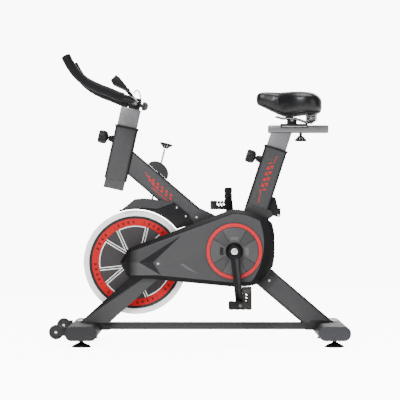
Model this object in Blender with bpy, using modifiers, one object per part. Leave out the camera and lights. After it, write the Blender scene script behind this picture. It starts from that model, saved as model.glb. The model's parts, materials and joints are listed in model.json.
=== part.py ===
"""An indoor cycling bike with a front flywheel, belt drive and adjustable seat and bars.

Metres, +Z up. The front wheel end points to -X and the rider's left is -Y.
The origin is on the floor, under the middle of the bike.
"""

import math

import bmesh
import bpy
from mathutils import Matrix, Vector

# ---- driving dimensions ------------------------------------------------------------
GAP = 0.0003                # between pieces that touch
RUN_GAP = 0.0005            # between pieces that turn or slide on each other

# welded frame, places in the side plane as (x, z)
BEAM_TOP = (-0.248, 0.613)
BEAM_FOOT = (0.402, 0.059)
BEAM_DEPTH = 0.070
BEAM_WIDTH = 0.040
TUBE_WALL = 0.002
HEAD_LEAN = 12.5            # degrees from upright, top towards the rear
HEAD_TOP = (-0.244, 0.7125)
HEAD_LENGTH = 0.175
SEAT_LEAN = 18.0
SEAT_TOP = (0.252, 0.6415)
SEAT_TUBE_LENGTH = 0.36
POST_DEPTH = 0.066
POST_WIDTH = 0.042
SLEEVE_WALL = 0.0025
SLEEVE_PLAY = 0.0015        # post to sleeve, each side
SEAT_PLAY = 0.0025          # seat post to its sleeve, front and back
SLEEVE_WIDTH = POST_WIDTH + 2 * (SLEEVE_WALL + SLEEVE_PLAY)
HEAD_DEPTH = POST_DEPTH + 2 * (SLEEVE_WALL + SLEEVE_PLAY)
SEAT_DEPTH = POST_DEPTH + 2 * (SLEEVE_WALL + SEAT_PLAY)
BUSH_HEIGHT = 0.007
BUSH_LIP = 0.003            # how far a bushing stands out of its sleeve
LEG_FOOT = (-0.385, 0.036)
LEG_SLOPE = 42.1            # degrees from level
LEG_LENGTH = 0.54
LEG_DEPTH = 0.066
LEG_WIDTH = 0.020
LEG_LAP = 0.005             # how far the legs lap the beam's sides
DROPOUT_THICK = 0.005
PIN_RADIUS = 0.004
HEAD_PIN_DROP = 0.043        # pop-pins below the sleeves' tops, along the sleeves
SEAT_PIN_DROP = 0.045
RAIL_BOTTOM = 0.045
RAIL_HEIGHT = 0.0255

# floor stabilizers, feet and transport wheels
FRONT_X = -0.383
REAR_X = 0.434
STAB_LENGTH = 0.480
STAB_DEPTH = 0.104
STAB_HEIGHT = 0.047
STAB_BOTTOM = 0.021
STAB_CORNER = 0.0215        # radius of the tube's rounded ends
STAB_CORNER_STEPS = 7
FOOT_RADIUS = 0.032
FOOT_HEIGHT = 0.019
FOOT_Y = 0.205
WHEEL_RADIUS = 0.024
WHEEL_WIDTH = 0.020
WHEEL_Y = 0.180
WHEEL_AXLE_RADIUS = 0.004
WHEEL_REACH = 0.031         # wheel centre ahead of the stabilizer's front edge
WHEEL_Z = 0.047

# drive
CRANK_CENTRE = (0.1132, 0.306)
CRANK_LENGTH = 0.175
CRANK_ANGLE = 5.6           # degrees past straight down, towards the rear, left side
CRANK_THICK = 0.014
CRANK_INNER_Y = 0.0790
BB_RADIUS = 0.022
BB_WALL = 0.004
BB_WIDTH = 0.080
AXLE_RADIUS = 0.0095
PULLEY_RADIUS = 0.085
PULLEY_RATIO = 4.0
FLY_PULLEY_RADIUS = PULLEY_RADIUS / PULLEY_RATIO
PULLEY_Y = 0.056            # middle of the belt run
PULLEY_WIDTH = 0.014
BELT_WIDTH = 0.010
BELT_THICK = 0.003
BELT_GAP = 0.0009           # belt to pulleys
WHEEL_CENTRE = (-0.2147, 0.268)
FLY_RADIUS = 0.1725
FLY_RIM = 0.0185            # depth of the bright rim
FLY_WIDTH = 0.024
FLY_WEB = 0.010
FLY_AXLE_RADIUS = 0.008
SPINDLE_RADIUS = 0.006
PEDAL_LENGTH = 0.075
PEDAL_THICK = 0.026
PEDAL_WIDTH = 0.092
PEDAL_INNER_Y = 0.1050
STRAP_RISE = 0.078
STRAP_BAND = 0.030
STRAP_THICK = 0.0025

# belt covers
COVER_INNER_Y = BEAM_WIDTH / 2 + 0.0008
COVER_SIDE_Y = 0.058
COVER_FACE_Y = 0.070
COVER_BAND = 0.015
COVER_WALL = 0.0025
COVER_HOLE = 0.030
DISC_RADIUS = 0.093
DISC_THICK = 0.004
DISC_HUB = 0.024
COVER_OUTLINE = [
    (-0.264, 0.269), (-0.236, 0.316), (-0.066, 0.379), (0.052, 0.423),
    (0.104, 0.4430), (0.128, 0.4436), (0.160, 0.438), (0.224, 0.412), (0.239, 0.398),
    (0.246, 0.366), (0.247, 0.317), (0.246, 0.284), (0.241, 0.256), (0.197, 0.199),
    (0.165, 0.1905), (0.109, 0.188), (-0.066, 0.204), (-0.234, 0.221), (-0.243, 0.228),
]

# brake
ROD_RADIUS = 0.00325
ROD_LEAN = 14.0
ROD_TOP = (-0.1175, 0.6450)
BRAKE_TRAVEL = 0.003
PAD_GAP = 0.001             # pad to rim with the brake pushed home
PAD_THICK = 0.0065
PAD_WIDTH = 0.024
PAD_START = 38.0            # degrees round the wheel from the rear
PAD_END = 108.0
FENDER_WIDTH = 0.060
GUARD_WIDTH = 0.052

# handlebar and console
BAR_RADIUS = 0.0111
BAR_HALF_SPAN = 0.200
BAR_X = -0.2165
BAR_Z = 0.7970
GRIP_RADIUS = 0.0155
GRIP_BORE_GAP = 0.0006
GRIP_FROM_X = -0.238        # grips cover the horns ahead of this
POST_TOP = (-0.2295, 0.780)
POST_LENGTH = 0.275
BAR_CLAMP_RISE = 0.018       # clamp's top over the bar's middle
CONSOLE_HALF_WIDTH = 0.055
BUTTON_RADIUS = 0.006
BUTTON_DOWN = 0.060         # button below the console's top, along its slope
CONSOLE_LOOP = [(-0.2765, 0.890), (-0.224, 0.827), (-0.231, 0.8325), (-0.289, 0.8585),
                (-0.296, 0.8715)]
CABLE_RADIUS = 0.002

# seat
SLIDER_X = (0.2266, 0.4276)
SLIDER_Z = (0.698, 0.724)
SLIDER_WIDTH = 0.040
SEAT_POST_LENGTH = 0.255
CARRIAGE_X = (0.268, 0.358)
SADDLE_FRONT = 0.186
SADDLE_LENGTH = 0.2203
SADDLE_HALF_WIDTH = 0.0955
SADDLE_SEAT = 0.7520        # the saddle's lowest point
# along the saddle from its nose: share of length, share of half width, bottom and top
# over the lowest point
SADDLE_PROFILE = [
    (0.00, 0.19, 0.0420, 0.0745), (0.05, 0.27, 0.0380, 0.0815), (0.13, 0.31, 0.0305, 0.0835),
    (0.22, 0.33, 0.0205, 0.0815), (0.32, 0.38, 0.0110, 0.0765), (0.42, 0.56, 0.0020, 0.0775),
    (0.50, 0.74, 0.0000, 0.0810), (0.60, 0.91, 0.0020, 0.0832), (0.74, 1.00, 0.0065, 0.0828),
    (0.85, 0.96, 0.0085, 0.0800), (0.93, 0.84, 0.0095, 0.0735), (1.00, 0.50, 0.0150, 0.0590),
]
SPRING_TOP = 0.7602
SPRING_X = 0.371
SPRING_Y = 0.048
SPRING_RADIUS = 0.0155
SPRING_WIRE = 0.0022
RAIL_WIRE = 0.0035
RAIL_REST = 0.7330          # height of the rails' middle where the springs stand

ROUND = 24                  # sides of the small round pieces

# ---- collections and materials -----------------------------------------------------
for old in list(bpy.data.objects):
    bpy.data.objects.remove(old, do_unlink=True)

parts = bpy.data.collections.new("exercise_bike")
bpy.context.scene.collection.children.link(parts)
cutters = bpy.data.collections.new("cutters")
bpy.context.scene.collection.children.link(cutters)


def material(name, colour, roughness, metallic=0.0):
    """A Principled material of one colour."""
    made = bpy.data.materials.new(name)
    made.use_nodes = True
    shader = made.node_tree.nodes["Principled BSDF"]
    shader.inputs["Base Color"].default_value = (*colour, 1.0)
    shader.inputs["Roughness"].default_value = roughness
    shader.inputs["Metallic"].default_value = metallic
    made.diffuse_color = (*colour, 1.0)
    return made


FRAME_PAINT = material("frame_paint", (0.085, 0.085, 0.088), 0.45, 0.2)
SILVER_PAINT = material("silver_paint", (0.30, 0.31, 0.33), 0.35, 0.5)
CHROME = material("chrome", (0.80, 0.80, 0.82), 0.12, 1.0)
STEEL = material("dark_steel", (0.10, 0.10, 0.105), 0.40, 0.8)
COVER_PLASTIC = material("cover_plastic", (0.075, 0.075, 0.077), 0.50)
BLACK_PLASTIC = material("black_plastic", (0.012, 0.012, 0.013), 0.35)
RED_PLASTIC = material("red_plastic", (0.80, 0.06, 0.06), 0.40)
RUBBER = material("rubber", (0.018, 0.018, 0.018), 0.75)
FOAM = material("grip_foam", (0.035, 0.035, 0.036), 0.85)
VINYL = material("saddle_vinyl", (0.012, 0.012, 0.013), 0.25)
FELT = material("felt", (0.82, 0.80, 0.76), 0.95)


# ---- modelling functions -----------------------------------------------------------
def keep(made, finish):
    """Puts a finished piece in the bike's collection with its material."""
    for owner in list(made.users_collection):
        owner.objects.unlink(made)
    parts.objects.link(made)
    made.data.materials.clear()
    made.data.materials.append(finish)
    return made


def tool(made):
    """Puts a cutting body with the cutters, hidden from renders."""
    for owner in list(made.users_collection):
        owner.objects.unlink(made)
    cutters.objects.link(made)
    made.hide_render = True
    made.display_type = "WIRE"
    return made


def from_bmesh(name, shape):
    """An object that holds a bmesh."""
    mesh = bpy.data.meshes.new(name)
    bmesh.ops.recalc_face_normals(shape, faces=shape.faces)
    shape.to_mesh(mesh)
    shape.free()
    made = bpy.data.objects.new(name, mesh)
    bpy.context.scene.collection.objects.link(made)
    return made


def block(name, size, centre, lean=0.0):
    """A box of a size, leaning by degrees about +Y through its centre."""
    shape = bmesh.new()
    bmesh.ops.create_cube(shape, size=1.0)
    bmesh.ops.scale(shape, vec=Vector(size), verts=shape.verts)
    made = from_bmesh(name, shape)
    made.location = centre
    made.rotation_euler = (0.0, math.radians(lean), 0.0)
    return made


def drum(name, radius, length, centre, toward="Y", sides=ROUND, top_radius=None):
    """A cylinder or cone along Y, Z or a direction, centred on a point."""
    shape = bmesh.new()
    bmesh.ops.create_cone(
        shape, cap_ends=True, segments=sides, radius1=radius,
        radius2=radius if top_radius is None else top_radius, depth=length)
    made = from_bmesh(name, shape)
    made.location = centre
    made.rotation_euler = facing(toward)
    return made


def facing(toward):
    """The rotation that takes local +Z to an axis letter or a direction."""
    named = {"Y": Vector((0, 1, 0)), "Z": Vector((0, 0, 1)), "-Y": Vector((0, -1, 0))}
    aim = named[toward] if isinstance(toward, str) else Vector(toward)
    return Vector((0, 0, 1)).rotation_difference(aim.normalized()).to_euler()


def cut(made, cutter, operation="DIFFERENCE"):
    """Cuts or joins a piece with another body, which is kept with the cutters."""
    change = made.modifiers.new(cutter.name, "BOOLEAN")
    change.operation = operation
    change.solver = "EXACT"
    change.object = tool(cutter)
    return made


def outline(name, loops, middle_y, thickness):
    """A flat plate from closed (x, z) loops, standing upright across Y."""
    curve = bpy.data.curves.new(name, "CURVE")
    curve.dimensions = "2D"
    curve.fill_mode = "BOTH"
    curve.extrude = thickness / 2
    for points in loops:
        spline = curve.splines.new("POLY")
        spline.points.add(len(points) - 1)
        for point, (x, z) in zip(spline.points, points):
            point.co = (x, z, 0.0, 1.0)
        spline.use_cyclic_u = True
    made = bpy.data.objects.new(name, curve)
    bpy.context.scene.collection.objects.link(made)
    made.location = (0.0, middle_y, 0.0)
    made.rotation_euler = (math.radians(90.0), 0.0, 0.0)
    return made


def wire(name, points, radius, caps=True, resolution=1):
    """A round bar that follows a list of points."""
    curve = bpy.data.curves.new(name, "CURVE")
    curve.dimensions = "3D"
    curve.bevel_depth = radius
    curve.bevel_resolution = resolution
    curve.use_fill_caps = caps
    spline = curve.splines.new("POLY")
    spline.points.add(len(points) - 1)
    for point, place in zip(spline.points, points):
        point.co = (*place, 1.0)
    made = bpy.data.objects.new(name, curve)
    bpy.context.scene.collection.objects.link(made)
    return made


def as_mesh(curved):
    """Turns a curve object into a welded mesh object of the same name and place."""
    bpy.context.view_layer.update()
    graph = bpy.context.evaluated_depsgraph_get()
    mesh = bpy.data.meshes.new_from_object(curved.evaluated_get(graph))
    shape = bmesh.new()
    shape.from_mesh(mesh)
    bmesh.ops.remove_doubles(shape, verts=shape.verts, dist=0.00001)
    bmesh.ops.recalc_face_normals(shape, faces=shape.faces)
    shape.to_mesh(mesh)
    shape.free()
    name = curved.name
    made = bpy.data.objects.new(name, mesh)
    made.matrix_world = curved.matrix_world
    bpy.context.scene.collection.objects.link(made)
    bpy.data.objects.remove(curved, do_unlink=True)
    made.name = name
    return made


def turned(name, profile, centre, toward="Z", sides=ROUND, ring=False):
    """A turned piece: (radius, height) points down its outer side, spun about its axis."""
    mesh = bpy.data.meshes.new(name)
    shape = bmesh.new()
    points = [shape.verts.new((radius, 0.0, height)) for radius, height in profile]
    for first, second in zip(points, points[1:]):
        shape.edges.new((first, second))
    if ring:
        shape.edges.new((points[-1], points[0]))
    shape.to_mesh(mesh)
    shape.free()
    made = bpy.data.objects.new(name, mesh)
    bpy.context.scene.collection.objects.link(made)
    made.location = centre
    made.rotation_euler = facing(toward)
    spin = made.modifiers.new("spin", "SCREW")
    spin.steps = sides
    spin.render_steps = sides
    spin.use_merge_vertices = True
    spin.merge_threshold = 0.00001
    spin.use_smooth_shade = True
    return made


def smooth_path(points, steps):
    """Points along a smooth curve through the given ones."""
    knots = [Vector(p) for p in points]
    knots = [2 * knots[0] - knots[1]] + knots + [2 * knots[-1] - knots[-2]]
    path = []
    for a, b, c, d in zip(knots, knots[1:], knots[2:], knots[3:]):
        for step in range(steps):
            t = step / steps
            path.append(0.5 * (2 * b + (c - a) * t + (2 * a - 5 * b + 4 * c - d) * t ** 2
                               + (3 * b - a - 3 * c + d) * t ** 3))
    path.append(knots[-2])
    return path


def arc(centre, radius, start, end, count):
    """Points round an arc in the side plane, angles in degrees from +X towards +Z."""
    turns = [math.radians(start + (end - start) * i / count) for i in range(count + 1)]
    return [(centre[0] + radius * math.cos(a), centre[1] + radius * math.sin(a))
            for a in turns]


def lean_axis(lean):
    """The unit direction in the side plane that leans rearwards by degrees."""
    angle = math.radians(lean)
    return Vector((math.sin(angle), 0.0, math.cos(angle)))


def side_point(place, y=0.0):
    """A point in space from a side-plane place."""
    return Vector((place[0], y, place[1]))


def box_tube(name, top, lean, length, depth, width, wall):
    """A square tube hanging down its axis from a top centre, open at both ends."""
    middle = side_point(top) - lean_axis(lean) * length / 2
    made = block(name, (depth, width, length), middle, lean)
    bore = block(name + "_bore", (depth - 2 * wall, width - 2 * wall, length + 0.04),
                 middle, lean)
    return cut(made, bore)


# ---- frame -------------------------------------------------------------------------
BEAM_RUN = side_point(BEAM_FOOT) - side_point(BEAM_TOP)
BEAM_DIRECTION = BEAM_RUN.normalized()
BEAM_LEAN = math.degrees(math.atan2(-BEAM_RUN.x, -BEAM_RUN.z))
BEAM_UP = Vector((-BEAM_DIRECTION.z, 0.0, BEAM_DIRECTION.x))
HEAD_AXIS = lean_axis(HEAD_LEAN)
HEAD_FRONT = Vector((-HEAD_AXIS.z, 0.0, HEAD_AXIS.x))
SEAT_AXIS = lean_axis(SEAT_LEAN)
SEAT_FRONT = Vector((-SEAT_AXIS.z, 0.0, SEAT_AXIS.x))
ROD_AXIS = lean_axis(ROD_LEAN)
STAB_TOP = STAB_BOTTOM + STAB_HEIGHT
LEG_Y = BEAM_WIDTH / 2 + GAP + LEG_WIDTH / 2
FLOOR_CUT = STAB_TOP + GAP


def beam_space(name, clearance, above=0.0, extra=0.3):
    """The beam's own outer space, grown by a clearance and by a height above it."""
    middle = side_point(BEAM_TOP) + BEAM_RUN / 2 + BEAM_UP * above / 2
    depth = BEAM_DEPTH + 2 * clearance + above
    return block(name, (depth, BEAM_WIDTH + 2 * clearance, BEAM_RUN.length + extra),
                 middle, BEAM_LEAN)


def floor_space(name):
    """Everything at and under the stabilizers' top."""
    return block(name, (1.4, 0.5, 0.4), (0.0, 0.0, FLOOR_CUT - 0.2))


def head_space(name, clearance):
    """The head sleeve's outer space, grown by a clearance."""
    middle = side_point(HEAD_TOP) - HEAD_AXIS * HEAD_LENGTH / 2
    return block(name, (HEAD_DEPTH + 2 * clearance, SLEEVE_WIDTH + 0.02,
                        HEAD_LENGTH + 0.02), middle, HEAD_LEAN)


def rod_space(name, radius):
    """The round space that the brake rod passes through."""
    reach = (side_point(ROD_TOP) - side_point(WHEEL_CENTRE)).length
    middle = side_point(ROD_TOP) - ROD_AXIS * reach / 2
    return drum(name, radius, reach + 0.04, middle, ROD_AXIS, sides=16)


def make_beam():
    """The sloping main tube, mitred to the head sleeve and to the floor rail."""
    top = side_point(BEAM_TOP)
    length = BEAM_RUN.length + 0.06
    middle = top + BEAM_DIRECTION * length / 2
    made = block("main_beam", (BEAM_DEPTH, BEAM_WIDTH, length), middle, BEAM_LEAN)
    cut(made, block("beam_bore", (BEAM_DEPTH - 2 * TUBE_WALL, BEAM_WIDTH - 2 * TUBE_WALL,
                                  length + 0.1), middle, BEAM_LEAN))
    cut(made, head_space("beam_head_mitre", GAP))
    cut(made, floor_space("beam_floor_mitre"))
    crank = side_point(CRANK_CENTRE)
    cut(made, drum("beam_crank_hole", BB_RADIUS + GAP, BEAM_WIDTH + 0.04, crank))
    cut(made, rod_space("beam_rod_hole", ROD_RADIUS + 0.002))
    return keep(made, FRAME_PAINT)


def pin_collar(name, top, axis, front, depth, drop):
    """The threaded collar that guides a pop-pin, ready to be joined to its sleeve."""
    face = side_point(top) - axis * drop + front * (depth / 2)
    made = drum(name, 0.013, 0.017, face + front * 0.0075, front, sides=20,
                top_radius=0.0085)
    return made, face


def make_sleeve(name, top, lean, length, depth, drop, front):
    """A square sleeve for a post with its pop-pin collar welded to the front."""
    axis = lean_axis(lean)
    middle = side_point(top) - axis * length / 2
    made = block(name, (depth, SLEEVE_WIDTH, length), middle, lean)
    collar, face = pin_collar(name + "_collar", top, axis, front, depth, drop)
    cut(made, collar, "UNION")
    cut(made, block(name + "_bore", (depth - 2 * SLEEVE_WALL,
                                     SLEEVE_WIDTH - 2 * SLEEVE_WALL, length + 0.04),
                    middle, lean))
    cut(made, drum(name + "_pin_hole", PIN_RADIUS + RUN_GAP, 0.06, face, front, sides=16))
    return made


def make_sleeves():
    """The head sleeve and the seat tube."""
    head = make_sleeve("head_sleeve", HEAD_TOP, HEAD_LEAN, HEAD_LENGTH, HEAD_DEPTH,
                       HEAD_PIN_DROP, HEAD_FRONT)
    keep(head, FRAME_PAINT)
    seat = make_sleeve("seat_tube", SEAT_TOP, SEAT_LEAN, SEAT_TUBE_LENGTH, SEAT_DEPTH,
                       SEAT_PIN_DROP, SEAT_FRONT)
    middle = side_point(BEAM_TOP) + BEAM_RUN / 2 - BEAM_UP * (0.1 - BEAM_DEPTH / 2 - GAP)
    cut(seat, block("seat_tube_mitre", (0.2, 0.1, BEAM_RUN.length), middle, BEAM_LEAN))
    keep(seat, FRAME_PAINT)


def make_bushing(name, top, lean, depth):
    """The plastic ring on a sleeve's mouth that guides its post."""
    axis = lean_axis(lean)
    middle = side_point(top) + axis * (BUSH_HEIGHT / 2 + GAP)
    outer = (depth + 2 * BUSH_LIP, SLEEVE_WIDTH + 2 * BUSH_LIP, BUSH_HEIGHT)
    made = block(name, outer, middle, lean)
    round_edges(made, 0.0015)
    cut(made, block(name + "_bore", (POST_DEPTH + 2 * RUN_GAP, POST_WIDTH + 2 * RUN_GAP,
                                     0.05), middle, lean))
    return keep(made, BLACK_PLASTIC)


def round_edges(made, width, segments=1, angle=30.0):
    """Softens the edges sharper than an angle."""
    soften = made.modifiers.new("round", "BEVEL")
    soften.width = width
    soften.segments = segments
    soften.limit_method = "ANGLE"
    soften.angle_limit = math.radians(angle)
    return made


LEG_DIRECTION = Vector((math.cos(math.radians(LEG_SLOPE)), 0.0,
                        math.sin(math.radians(LEG_SLOPE))))
LEG_UP = Vector((-LEG_DIRECTION.z, 0.0, LEG_DIRECTION.x))


def leg_space(name, side, clearance):
    """A fork leg's outer space, grown by a clearance."""
    middle = side_point(LEG_FOOT, side * LEG_Y) + LEG_DIRECTION * LEG_LENGTH / 2
    return block(name, (LEG_DEPTH + 2 * clearance, LEG_WIDTH + 2 * clearance,
                        LEG_LENGTH), middle, 90.0 - LEG_SLOPE)


def leg_mitre(name):
    """The space over the beam's lower edge, where the legs stop."""
    middle = (side_point(BEAM_TOP) + BEAM_RUN / 2
              + BEAM_UP * (0.2 - BEAM_DEPTH / 2 + LEG_LAP))
    return block(name, (0.4, 0.2, BEAM_RUN.length + 0.4), middle, BEAM_LEAN)


def dropout(name, side):
    """The plate that carries the flywheel's axle beside a leg."""
    axle = side_point(WHEEL_CENTRE)
    foot = side_point(LEG_FOOT)
    foot = foot + LEG_DIRECTION * (axle - foot).dot(LEG_DIRECTION)
    low = foot + LEG_UP * 0.004
    base = [low + LEG_DIRECTION * 0.045, low - LEG_DIRECTION * 0.010]
    nose = arc(WHEEL_CENTRE, 0.022, 180.0 + LEG_SLOPE, LEG_SLOPE, 12)
    loop = [(p.x, p.z) for p in base] + nose
    middle_y = side * (LEG_Y + LEG_WIDTH / 2 - 0.001 + DROPOUT_THICK / 2)
    return as_mesh(outline(name, [loop], middle_y, DROPOUT_THICK))


def make_fork_leg(name, side):
    """One of the two tubes that straddle the flywheel, with its dropout plate."""
    made = leg_space(name, side, 0.0)
    cut(made, dropout(name + "_dropout", side), "UNION")
    bore = leg_space(name + "_bore", side, -TUBE_WALL)
    bore.scale.z = 1.2
    cut(made, bore)
    cut(made, leg_mitre(name + "_mitre"))
    cut(made, floor_space(name + "_floor"))
    axle = side_point(WHEEL_CENTRE)
    cut(made, drum(name + "_axle_hole", FLY_AXLE_RADIUS + RUN_GAP, 0.2, axle))
    return keep(made, FRAME_PAINT)


def make_rail():
    """The flat floor rail between the two stabilizers."""
    front = FRONT_X + STAB_DEPTH / 2 + GAP * 3
    rear = REAR_X - STAB_DEPTH / 2 - GAP * 3
    top = min(RAIL_BOTTOM + RAIL_HEIGHT, FLOOR_CUT - GAP)
    height = top - RAIL_BOTTOM
    middle = ((front + rear) / 2, 0.0, RAIL_BOTTOM + height / 2)
    made = block("bottom_rail", (rear - front, BEAM_WIDTH, height), middle)
    cut(made, block("rail_bore", (rear - front + 0.1, BEAM_WIDTH - 2 * TUBE_WALL,
                                  height - 2 * TUBE_WALL), middle))
    return keep(made, FRAME_PAINT)


def oblong(centre, width, height, radius):
    """A rounded bar's outline in the side plane."""
    loop = []
    for start, right, up in ((0.0, 1, 1), (90.0, -1, 1), (180.0, -1, -1), (270.0, 1, -1)):
        corner = (centre[0] + right * (width / 2 - radius),
                  centre[1] + up * (height / 2 - radius))
        loop += arc(corner, radius, start, start + 90.0, STAB_CORNER_STEPS)
    return loop


def make_stabilizer(name, x):
    """An oblong floor tube across one end of the bike."""
    centre = (x, STAB_BOTTOM + STAB_HEIGHT / 2)
    outer = oblong(centre, STAB_DEPTH, STAB_HEIGHT, STAB_CORNER)
    inner = oblong(centre, STAB_DEPTH - 2 * TUBE_WALL, STAB_HEIGHT - 2 * TUBE_WALL,
                   STAB_CORNER - TUBE_WALL)
    made = as_mesh(outline(name, [outer, inner], 0.0, STAB_LENGTH))
    return keep(made, FRAME_PAINT)


def make_foot(name, x, y):
    """A conical rubber levelling foot with its threaded stud."""
    stud = STAB_BOTTOM - GAP
    profile = [(0.0, stud), (0.005, stud), (0.005, FOOT_HEIGHT), (0.017, FOOT_HEIGHT),
               (FOOT_RADIUS - 0.004, 0.008), (FOOT_RADIUS, 0.004), (FOOT_RADIUS, 0.0),
               (0.0, 0.0)]
    made = turned(name, profile, (x, y, 0.0), "Z", sides=16)
    return keep(made, RUBBER)


def make_transport_wheel(side_name, side):
    """A small wheel and its forked bracket on the front stabilizer."""
    x = FRONT_X - STAB_DEPTH / 2 - WHEEL_REACH
    centre = (x, side * WHEEL_Y, WHEEL_Z)
    half = WHEEL_WIDTH / 2
    bore = WHEEL_AXLE_RADIUS + RUN_GAP
    profile = [(bore, half), (WHEEL_RADIUS - 0.003, half), (WHEEL_RADIUS, half - 0.003),
               (WHEEL_RADIUS, 0.003 - half), (WHEEL_RADIUS - 0.003, -half), (bore, -half)]
    wheel = turned("transport_wheel_" + side_name, profile, centre, "Y", 20, ring=True)
    keep(wheel, RUBBER)
    back = FRONT_X - STAB_DEPTH / 2 - 0.0008
    front = x - 0.010
    ear = 0.003
    width = WHEEL_WIDTH + 2 * (ear + 0.001)
    low = WHEEL_Z - 0.012
    loop = [(back, WHEEL_Z + 0.016), (back, low), (front, low),
            (front - 0.004, WHEEL_Z + 0.002), (front + 0.006, WHEEL_Z + 0.016)]
    name = "wheel_bracket_" + side_name
    made = as_mesh(outline(name, [loop], side * WHEEL_Y, width))
    slot = (0.2, WHEEL_WIDTH + 0.002, 0.1)
    cut(made, block(name + "_slot", slot, (back - 0.0035 - 0.1, side * WHEEL_Y, WHEEL_Z)))
    cut(made, drum(name + "_axle", WHEEL_AXLE_RADIUS, width - 0.001, centre, "Y", 16),
        "UNION")
    return keep(made, BLACK_PLASTIC)


def make_frame():
    """The welded frame, its floor tubes and what stands on the floor."""
    make_beam()
    make_sleeves()
    make_bushing("head_bushing", HEAD_TOP, HEAD_LEAN, HEAD_DEPTH)
    make_bushing("seat_bushing", SEAT_TOP, SEAT_LEAN, SEAT_DEPTH)
    make_fork_leg("fork_leg_left", -1)
    make_fork_leg("fork_leg_right", 1)
    make_rail()
    make_stabilizer("front_stabilizer", FRONT_X)
    make_stabilizer("rear_stabilizer", REAR_X)
    for end, x in (("front", FRONT_X), ("rear", REAR_X)):
        for side_name, side in (("left", -1), ("right", 1)):
            make_foot(f"foot_{end}_{side_name}", x, side * FOOT_Y)
    make_transport_wheel("left", -1)
    make_transport_wheel("right", 1)
    profile = [(BB_RADIUS - BB_WALL, BB_WIDTH / 2), (BB_RADIUS, BB_WIDTH / 2),
               (BB_RADIUS, -BB_WIDTH / 2), (BB_RADIUS - BB_WALL, -BB_WIDTH / 2)]
    shell = turned("bottom_bracket_shell", profile, side_point(CRANK_CENTRE), "Y",
                   ring=True)
    keep(shell, STEEL)


# ---- drive -------------------------------------------------------------------------


def make_flywheel():
    """The weighted wheel, a bright rim on a thin dark web, and its axle and pulley."""
    half = FLY_WIDTH / 2
    web = FLY_WEB / 2
    inner = FLY_RADIUS - FLY_RIM
    bore = FLY_AXLE_RADIUS + GAP
    hub = 0.026
    hub_half = 0.015
    profile = [(bore, hub_half), (hub, hub_half), (hub + 0.004, web),
               (inner - 0.003, web), (inner, half - 0.001), (FLY_RADIUS - 0.002, half),
               (FLY_RADIUS, half - 0.002)]
    profile += [(radius, -height) for radius, height in reversed(profile)]
    centre = side_point(WHEEL_CENTRE)
    wheel = turned("flywheel", profile, centre, "Y", sides=40, ring=True)
    keep(wheel, STEEL)
    inside = BEAM_WIDTH / 2 + LEG_WIDTH + DROPOUT_THICK + 0.001
    pulley_in = PULLEY_Y - PULLEY_WIDTH / 2
    pulley_out = PULLEY_Y + PULLEY_WIDTH / 2
    profile = [(0.0, pulley_out), (FLY_PULLEY_RADIUS + 0.0025, pulley_out),
               (FLY_PULLEY_RADIUS + 0.0025, PULLEY_Y + BELT_WIDTH / 2 + RUN_GAP),
               (FLY_PULLEY_RADIUS, PULLEY_Y + BELT_WIDTH / 2 + RUN_GAP),
               (FLY_PULLEY_RADIUS, PULLEY_Y - BELT_WIDTH / 2 - RUN_GAP),
               (FLY_PULLEY_RADIUS + 0.0025, PULLEY_Y - BELT_WIDTH / 2 - RUN_GAP),
               (FLY_PULLEY_RADIUS + 0.0025, pulley_in), (FLY_AXLE_RADIUS, pulley_in),
               (FLY_AXLE_RADIUS, -inside - 0.004), (0.0, -inside - 0.004)]
    axle = turned("flywheel_axle", profile, centre, "Y", sides=24)
    keep(axle, STEEL)


def make_crank_axle_and_pulley():
    """The axle through the bottom bracket and the large belt pulley on its right."""
    centre = side_point(CRANK_CENTRE)
    end = CRANK_INNER_Y + CRANK_THICK - 0.003
    profile = [(0.0, end), (AXLE_RADIUS, end), (AXLE_RADIUS, -end), (0.0, -end)]
    keep(turned("crank_axle", profile, centre, "Y", sides=24), STEEL)
    bore = AXLE_RADIUS + GAP
    lip = PULLEY_RADIUS + 0.0025
    groove = BELT_WIDTH / 2 + RUN_GAP
    web = 0.002
    rim = PULLEY_RADIUS - 0.008
    outer = [(bore, 0.011), (0.020, 0.011), (0.020, web), (rim, web),
             (rim, PULLEY_WIDTH / 2), (lip, PULLEY_WIDTH / 2), (lip, groove),
             (PULLEY_RADIUS, groove)]
    inner = [(radius, -height) for radius, height in reversed(outer)]
    middle = centre + Vector((0.0, PULLEY_Y, 0.0))
    pulley = turned("crank_pulley", outer + inner, middle, "Y", sides=28, ring=True)
    keep(pulley, BLACK_PLASTIC)


def belt_loop(growth):
    """The closed run round both pulleys, grown outwards by a distance."""
    large = side_point(CRANK_CENTRE)
    small = side_point(WHEEL_CENTRE)
    run = large - small
    heading = math.degrees(math.atan2(run.z, run.x))
    wrap = math.degrees(math.acos((PULLEY_RADIUS - FLY_PULLEY_RADIUS) / run.length))
    swing = 180.0 - wrap
    big = arc(CRANK_CENTRE, PULLEY_RADIUS + growth, heading - swing, heading + swing, 20)
    little = arc(WHEEL_CENTRE, FLY_PULLEY_RADIUS + growth, heading + swing,
                 heading + 360.0 - swing, 8)
    return big + little


def make_belt():
    """The ribbed drive belt."""
    loops = [belt_loop(BELT_THICK), belt_loop(BELT_GAP)]
    made = as_mesh(outline("drive_belt", loops, PULLEY_Y, BELT_WIDTH))
    return keep(made, RUBBER)


def crank_direction(side):
    """From the crank axle to a pedal: the left crank hangs down, the right stands up."""
    angle = math.radians(CRANK_ANGLE)
    down = Vector((math.sin(angle), 0.0, -math.cos(angle)))
    return down if side < 0 else -down


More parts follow.
